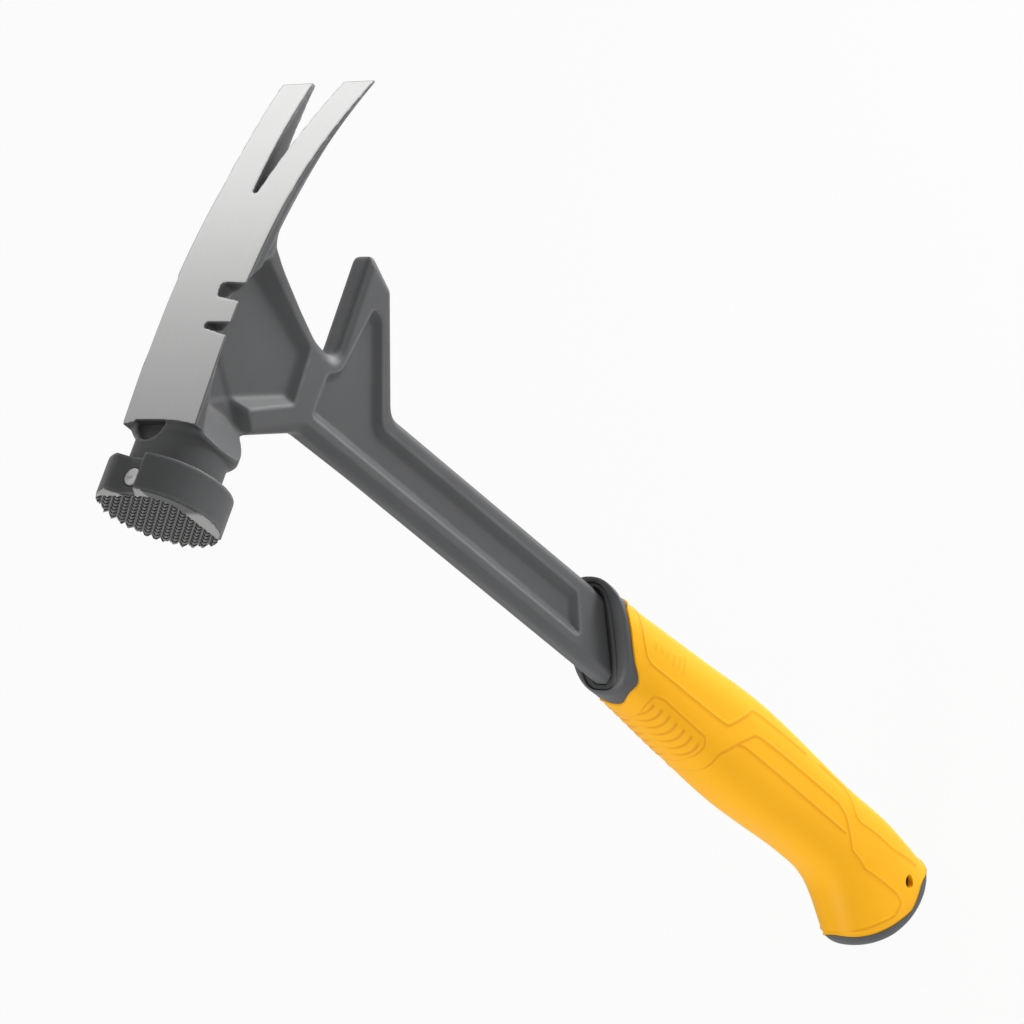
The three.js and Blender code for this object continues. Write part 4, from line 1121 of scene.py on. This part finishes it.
class Wire:
    """One socket of a node tree. Sums on wires add Math nodes, and node() adds any other node."""

    def __init__(self, tree, socket=None):
        self.tree, self.socket = tree, socket

    def node(self, kind, options=None, sockets=None, output=0):
        """Adds a node, sets its options and then its sockets, and returns one of its outputs."""
        made = self.tree.nodes.new(kind)
        for name, value in (options or {}).items():
            setattr(made, name, value)
        for name, value in (sockets or {}).items():
            self.feed(made, name, value)
        return Wire(self.tree, made.outputs[output])

    def feed(self, made, name, value):
        """Links a wire to a node's socket, or sets the socket to a value."""
        if isinstance(value, Wire):
            self.tree.links.new(value.socket, made.inputs[name])
        else:
            made.inputs[name].default_value = value

    def math(self, operation, *others):
        """A sum of one kind on this wire and other wires or numbers."""
        return self.node("ShaderNodeMath", {"operation": operation}, dict(enumerate((self, *others))))

    __add__ = __radd__ = partialmethod(math, "ADD")
    __sub__ = partialmethod(math, "SUBTRACT")
    __mul__ = __rmul__ = partialmethod(math, "MULTIPLY")
    __abs__ = partialmethod(math, "ABSOLUTE")

    def __rsub__(self, other):
        return self.node("ShaderNodeMath", {"operation": "SUBTRACT"}, {0: other, 1: self})

    def eased(self, low, high):
        """Share from 0 at the low value to 1 at the high one."""
        sockets = {0: self, 1: low, 2: high}
        return self.node("ShaderNodeMapRange", {"interpolation_type": "SMOOTHSTEP"}, sockets)

    def part(self, axis):
        """One part of a vector."""
        return self.node("ShaderNodeSeparateXYZ", None, {0: self}, axis)

    def scaled(self, x, y, z):
        """A vector with its parts stretched."""
        return self.node("ShaderNodeVectorMath", {"operation": "MULTIPLY"}, {0: self, 1: (x, y, z)})

    def grain(self, scale, detail=3.0, roughness=0.5):
        """Noise on this vector, about 0.5 on average."""
        sockets = {"Vector": self, "Scale": scale, "Detail": detail, "Roughness": roughness}
        return self.node("ShaderNodeTexNoise", None, sockets)

    def between(self, low, high):
        """Colour between two others by this share."""
        return self.node("ShaderNodeMix", {"data_type": "RGBA"}, {0: self, 6: low, 7: high}, 2)

    def bump(self, strength, distance):
        """Normal of a surface that this height roughens."""
        return self.node("ShaderNodeBump", None, {"Strength": strength, "Distance": distance, "Height": self})

    def attribute(self, name):
        """A piece's own values, given at its vertices."""
        return self.node("ShaderNodeAttribute", {"attribute_name": name}, None, "Fac")


def rgba(tint, share=1.0):
    """An opaque colour: the tint, darkened or lightened by a share."""
    return (*(min(share * part, 1.0) for part in tint), 1.0)


def finish(name, sockets):
    """A material with one principled shader. The sockets come from a function of the Object coordinates."""
    material = bpy.data.materials.new(name)
    material.use_nodes = True
    tree = material.node_tree
    shader = tree.nodes["Principled BSDF"]
    wire = Wire(tree)
    coordinates = wire.node("ShaderNodeTexCoord", None, None, "Object")
    for socket, value in sockets(coordinates).items():
        wire.feed(shader, socket, value)
    return material


def forged_steel(colours):
    """Grey powder coat with rubbed edges, paler also as a painted highlight, painted light on the jaw's level
    face and a painted highlight in the throat; bare ground steel over the strap's top, painted darker at the
    front and paler towards the claw as painted light.
    """

    def sockets(place):
        x, z = place.part("X"), place.part("Z")
        from_crest = x - (CREST_X + SHIFT[0]) * MM
        square = from_crest * from_crest
        front = from_crest.eased(0.00001, -0.00001)
        claw_bend, crown_bend = (0.5 / (radius * MM) for radius in (CLAW_RADIUS, CROWN_RADIUS))
        fall = square * claw_bend + front * square * (crown_bend - claw_bend)
        below = abs(z + fall - (CREST + SHIFT[2]) * MM)
        edge = (STRAP_FRONT + SHIFT[0]) * MM
        bare = below.eased(0.00016, 0.00007) * x.eased(edge - 0.0002, edge)
        # Painted light: the bare strap is darker at its front and paler towards the claw
        along = x.eased(edge - 0.022, edge + 0.083)
        grit = place.grain(2600, 2)
        blotch = place.grain(60, 3)
        streak = place.scaled(28, 900, 28).grain(1, 4, 0.6)
        scratch = place.scaled(60, 3200, 60).grain(1, 2)
        pits = place.scaled(300, 900, 300).grain(1, 1).eased(0.72, 0.8)
        # Rubbed paint at edges, paler also as a painted highlight; painted light on the jaw's level face and
        # a painted highlight in the throat
        pale_share = place.attribute("wear") * (0.15 + 0.4 * blotch) + 0.08 * blotch
        paint = pale_share.between(rgba(colours.paint), rgba(colours.rubbed_and_lit_paint))
        painted_light_and_streaks = along + 0.1 * streak - 0.05 - 0.08 * pits
        steel = painted_light_and_streaks.between(rgba(colours.shaded_steel), rgba(colours.steel))
        rough = (0.46 + 0.1 * blotch) * (1 - bare) + (0.3 + 0.14 * scratch) * bare
        height = grit * (1 - bare) + (0.7 * scratch + 0.3 * streak) * bare
        return {
            "Base Color": bare.between(paint, steel), "Metallic": bare * 0.8, "Roughness": rough,
            "Normal": height.bump(0.14, 0.00005), "Specular IOR Level": 0.25,
        }

    return finish("forged_steel", sockets)


def milled_steel(colours, pitch):
    """Milled face: bare metal on the teeth's upper flanks and down the grooves, pale there as a painted
    highlight; near-black painted shade over the rest of the teeth; bare metal on the rubbed lands.
    """

    def sockets(place):
        y, z = place.part("Y"), place.part("Z") - (POLL_AXIS + SHIFT[2]) * MM
        row = (y + z) * (math.sqrt(0.5) / pitch) - TOOTH_PHASE * MM / pitch
        tooth = (z - y) * (math.sqrt(0.5) / pitch)
        grit = place.grain(2400, 2)
        # Painted highlight down the grooves and on the teeth's upper flanks; the rest of the teeth is
        # near-black painted shade
        groove = abs(row.math("FRACT") - 0.5).eased(0.14, 0.05)
        lit_flank = abs(tooth.math("FRACT") - 0.1).eased(0.13, 0.07)
        land = (place.attribute("land") + 0.2 * grit - 0.1).eased(0.35, 0.6)
        beside = y.eased(-0.0085, -0.007) * abs(y).eased(0.0018, 0.003)
        pale_share = land * beside.math("MAXIMUM", z.eased(0.006, 0.002))
        highlight_and_wear = ((groove * 0.9).math("MAXIMUM", lit_flank * 0.6) * (1 - land)).math("MAXIMUM", pale_share)
        # The core's black, darkened further, is the near-black painted shade of the teeth
        metal = highlight_and_wear.between(rgba(colours.black, 0.12), rgba(colours.milled))
        return {
            "Base Color": (land * (1 - pale_share)).between(metal, rgba(colours.paint)), "Metallic": 0.7 * highlight_and_wear,
            "Roughness": 0.34 + 0.16 * grit, "Normal": grit.bump(0.2, 0.00005), "Specular IOR Level": 0.25,
        }

    return finish("milled_steel", sockets)


def plated(colours):
    """Nickel plating with fine turning marks."""

    def sockets(place):
        marks = place.scaled(700, 700, 700).grain(1, 3)
        tint = marks.between(rgba(colours.magnet, 0.8), rgba(colours.magnet))
        return {"Base Color": tint, "Metallic": 0.5, "Roughness": 0.36 + 0.1 * marks}

    return finish("plated", sockets)


def soft_skin(colours):
    """Matt yellow rubber with a fine mould grain, darker orange as painted shade down in its lines, rib gaps
    and ticks.
    """

    def sockets(place):
        crease = place.attribute("crease")
        grain = place.grain(1500, 3, 0.6)
        cloud = place.grain(45, 3)
        # Painted shade down in the lines, with faint random clouds of tone over the whole skin
        shade_and_tone = crease.eased(0.1, 1.0) * 0.75 + 0.12 * cloud
        tint = shade_and_tone.between(rgba(colours.yellow), rgba(colours.shaded_yellow))
        return {
            "Base Color": tint, "Roughness": 0.48 + 0.12 * grain + 0.1 * crease, "Specular IOR Level": 0.22,
            "Normal": grain.bump(0.18, 0.00006),
        }

    return finish("soft_skin", sockets)


def moulded(name, tint, roughness):
    """Moulded grey or black rubber with a fine grain and faint clouds."""

    def sockets(place):
        grain = place.grain(1700, 3, 0.6)
        cloud = place.grain(70, 3)
        shade = (0.25 * grain + 0.75 * cloud).eased(0.25, 0.75)
        both = shade.between(rgba(tint, 0.84), rgba(tint, 1.15))
        return {
            "Base Color": both, "Roughness": roughness + 0.14 * grain, "Normal": grain.bump(0.22, 0.00007)}

    return finish(name, sockets)


# Pieces


def shown(name, data):
    """An object with the data, put into the scene."""
    made = bpy.data.objects.new(name, data)
    bpy.context.scene.collection.objects.link(made)
    return made


def solid(name, points, faces):
    """A mesh object at the origin, with its place in its points."""
    mesh = bpy.data.meshes.new(name)
    places = (points + SHIFT) * MM
    mesh.from_pydata(places.tolist(), [], faces if isinstance(faces, list) else faces.tolist())
    return shown(name, mesh)


def piece(name, shape, material, replaced=(), smooth=True):
    """A piece that rides on the hammer's one body.

    Its shape is its points and faces and, where it has any, the values that shade its points.
    """
    points, faces, *shades = shape
    made = solid(name, points, faces)
    mesh = made.data
    mesh.polygons.foreach_set("use_smooth", np.full(len(mesh.polygons), smooth))
    for shade, values in (shades[0] if shades else {}).items():
        mesh.attributes.new(shade, "FLOAT", "POINT").data.foreach_set("value", np.ascontiguousarray(values))
    mesh.materials.append(material)
    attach(made, BODY)
    if replaced:
        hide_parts(*replaced)
    return made


def drilled(made, radius):
    """Cuts the lanyard hole right through a piece, and takes the cutter away."""
    profile = [(TINY, -DRILL_HALF), (radius, -DRILL_HALF), (radius, DRILL_HALF), (TINY, DRILL_HALF)]
    points, faces = turned_mesh(profile, "Y", DRILL_STEPS)
    cutter = solid("drill", points + LANYARD, faces)
    cut = made.modifiers.new("hole", "BOOLEAN")
    cut.object, cut.operation, cut.solver = cutter, "DIFFERENCE", "EXACT"
    graph = bpy.context.evaluated_depsgraph_get()
    result = bpy.data.meshes.new_from_object(made.evaluated_get(graph))
    made.modifiers.clear()
    made.data = result
    cutter_mesh = cutter.data
    bpy.data.objects.remove(cutter)
    bpy.data.meshes.remove(cutter_mesh)


class HAMMER_OT_forging(Operator):
    """Head, jaw and shank forged in one, with a painted coat and a ground strap"""

    bl_idname = "hammer.forging"
    bl_label = "Forging"

    def execute(self, context):
        sizes, colours = settings(context)
        piece("forging", forging_mesh(sizes), forged_steel(colours), ["forged_hammer"])
        return {"FINISHED"}


class HAMMER_OT_strike_face(Operator):
    """Milled teeth of the strike face"""

    bl_idname = "hammer.strike_face"
    bl_label = "Strike face"

    def execute(self, context):
        sizes, colours = settings(context)
        material = milled_steel(colours, sizes.tooth_pitch)
        piece("strike_face", strike_face_mesh(sizes), material, smooth=False)
        return {"FINISHED"}


class HAMMER_OT_magnet(Operator):
    """Nail-starting magnet in the poll's groove"""

    bl_idname = "hammer.magnet"
    bl_label = "Nail magnet"

    def execute(self, context):
        _, colours = settings(context)
        piece("magnet", magnet_mesh(), plated(colours), ["nail_magnet"])
        return {"FINISHED"}


class HAMMER_OT_core(Operator):
    """Hard core inside the skin, whose nose shows round the shank"""

    bl_idname = "hammer.core"
    bl_label = "Grip core"

    def execute(self, context):
        sizes, colours = settings(context)
        material = moulded("core_plastic", colours.black, 0.4)
        made = piece("core", core_mesh(sizes), material, ["grip_core"])
        drilled(made, drawn(sizes.bush_bore) + BUSH_WALL + BUSH_PLAY)
        return {"FINISHED"}


class HAMMER_OT_collar(Operator):
    """Grey collar round the core's nose"""

    bl_idname = "hammer.collar"
    bl_label = "Front collar"

    def execute(self, context):
        _, colours = settings(context)
        material = moulded("grey_rubber", colours.grey, 0.45)
        piece("collar", collar_mesh(), material, ["front_collar"])
        return {"FINISHED"}


class HAMMER_OT_skin(Operator):
    """Yellow skin with its pressed lines, finger ribs and lanyard hole"""

    bl_idname = "hammer.skin"
    bl_label = "Grip skin"

    def execute(self, context):
        sizes, colours = settings(context)
        made = piece("skin", skin_mesh(sizes), soft_skin(colours), ["grip_skin"])
        drilled(made, drawn(sizes.lanyard_radius))
        return {"FINISHED"}


class HAMMER_OT_cap(Operator):
    """Grey cap over the butt"""

    bl_idname = "hammer.cap"
    bl_label = "Butt cap"

    def execute(self, context):
        sizes, colours = settings(context)
        piece("cap", cap_mesh(sizes), moulded("cap_rubber", colours.grey, 0.5), ["butt_cap"])
        return {"FINISHED"}


class HAMMER_OT_bush(Operator):
    """Liner of the lanyard hole"""

    bl_idname = "hammer.bush"
    bl_label = "Lanyard bush"

    def execute(self, context):
        sizes, colours = settings(context)
        material = moulded("bush_plastic", colours.black, 0.4)
        piece("bush", bush_mesh(sizes), material, ["lanyard_bush"])
        return {"FINISHED"}


class HAMMER_OT_stage(Operator):
    """Pale floor, soft lamps, white background and the camera"""

    bl_idname = "hammer.stage"
    bl_label = "Stage"

    def execute(self, context):
        scene = context.scene
        scene.view_settings.view_transform = "Standard"
        self.camera(scene)
        self.floor(scene.hammer_colours)
        self.world(scene)
        for lamp in LAMPS:
            self.lamp(*lamp)
        return {"FINISHED"}

    def camera(self, scene):
        """The camera stands where the photograph was taken from, with a long lens."""
        data = bpy.data.cameras.new("camera")
        data.sensor_width, data.lens = CAMERA_SENSOR, CAMERA_LENS
        right, up = Vector(CAMERA_RIGHT).normalized(), Vector(CAMERA_UP).normalized()
        back = right.cross(up)
        turn = Matrix((right, back.cross(right), back)).transposed()
        scene.camera = shown("camera", data)
        scene.camera.matrix_world = Matrix.Translation(CAMERA_PLACE) @ turn.to_4x4()

    def lamp(self, name, target, direction, distance, width, height, power, spread=None):
        """A soft lamp that looks at the target from a direction."""
        data = bpy.data.lights.new(name, "AREA")
        data.shape, data.size, data.size_y, data.energy = "RECTANGLE", width, height, power
        if spread:
            data.spread = math.radians(spread)
        away = Vector(direction).normalized()
        turn = away.to_track_quat("Z", "Y").to_matrix().to_4x4()
        shown(name, data).matrix_world = Matrix.Translation(Vector(target) + away * distance) @ turn

    def seen(self, wire):
        """1 for rays from the camera, from metal and through glass, and 0 for rays of light."""
        camera = wire.node("ShaderNodeLightPath", None, None, "Is Camera Ray")
        rays = camera.socket.node.outputs
        glossy, glass = (Wire(wire.tree, rays[name]) for name in ("Is Glossy Ray", "Is Transmission Ray"))
        return camera.math("MAXIMUM", glossy.math("MAXIMUM", glass))

    def floor(self, colours):
        """A wide floor that looks white, and still takes a light shadow."""

        def sockets(place):
            tint = place.grain(4, 2).between(rgba(colours.floor), WHITE)
            return {"Base Color": tint, "Roughness": 0.9}

        material = finish("floor", sockets)
        tree = material.node_tree
        wire = Wire(tree)
        matt = Wire(tree, tree.nodes["Principled BSDF"].outputs[0])
        glow = wire.node("ShaderNodeEmission", None, {"Color": WHITE, "Strength": 1.0})
        surface = wire.node("ShaderNodeMixShader", None, {0: self.seen(wire) * FLOOR_GLOW, 1: matt, 2: glow})
        wire.feed(tree.nodes["Material Output"], "Surface", surface)
        half = FLOOR_HALF
        mesh = bpy.data.meshes.new("floor")
        corners = [(-half, -half, 0), (half, -half, 0), (half, half, 0), (-half, half, 0)]
        mesh.from_pydata(corners, [], [(0, 1, 2, 3)])
        mesh.materials.append(material)
        made = shown("floor", mesh)
        made.location.z = -FLOOR_DROP

    def world(self, scene):
        """White behind the hammer, and for light a sky that is dimmer overhead."""
        world = bpy.data.worlds.new("studio")
        scene.world = world
        world.use_nodes = True
        wire = Wire(world.node_tree)
        sky = world.node_tree.nodes["Background"]
        seen = self.seen(wire)
        up = wire.node("ShaderNodeTexCoord", None, None, "Generated").part("Z")
        light = up.eased(0, 1) * (SKY_OVERHEAD - SKY_LEVEL) + SKY_LEVEL
        wire.feed(sky, "Color", WHITE)
        wire.feed(sky, "Strength", seen + (1 - seen) * light)


class HAMMER_PT_sidebar(Panel):
    """Sizes, colours and pieces of the hammer"""

    bl_label = "Hammer"
    bl_idname = "HAMMER_PT_sidebar"
    bl_space_type = "VIEW_3D"
    bl_region_type = "UI"
    bl_category = "Hammer"

    def draw(self, context):
        for group in settings(context):
            column = self.layout.column(align=True)
            for name in group.bl_rna.properties.keys():
                if name not in ("rna_type", "name"):
                    column.prop(group, name)
        for operator in OPERATORS:
            self.layout.operator(operator.bl_idname)


OPERATORS = (
    HAMMER_OT_forging, HAMMER_OT_strike_face, HAMMER_OT_magnet, HAMMER_OT_core, HAMMER_OT_collar,
    HAMMER_OT_skin, HAMMER_OT_cap, HAMMER_OT_bush, HAMMER_OT_stage,
)
CLASSES = (HammerSizes, HammerColours, *OPERATORS, HAMMER_PT_sidebar)


def register():
    """Adds the classes, and their settings to every scene."""
    for cls in CLASSES:
        bpy.utils.register_class(cls)
    bpy.types.Scene.hammer_sizes = PointerProperty(type=HammerSizes)
    bpy.types.Scene.hammer_colours = PointerProperty(type=HammerColours)


def unregister():
    """Takes away what register added."""
    del bpy.types.Scene.hammer_colours
    del bpy.types.Scene.hammer_sizes
    for cls in reversed(CLASSES):
        bpy.utils.unregister_class(cls)


def main():
    """Builds every piece and the stage."""
    register()
    for operator in OPERATORS:
        group, name = operator.bl_idname.split(".")
        getattr(getattr(bpy.ops, group), name)()


if __name__ == "__main__":
    main()
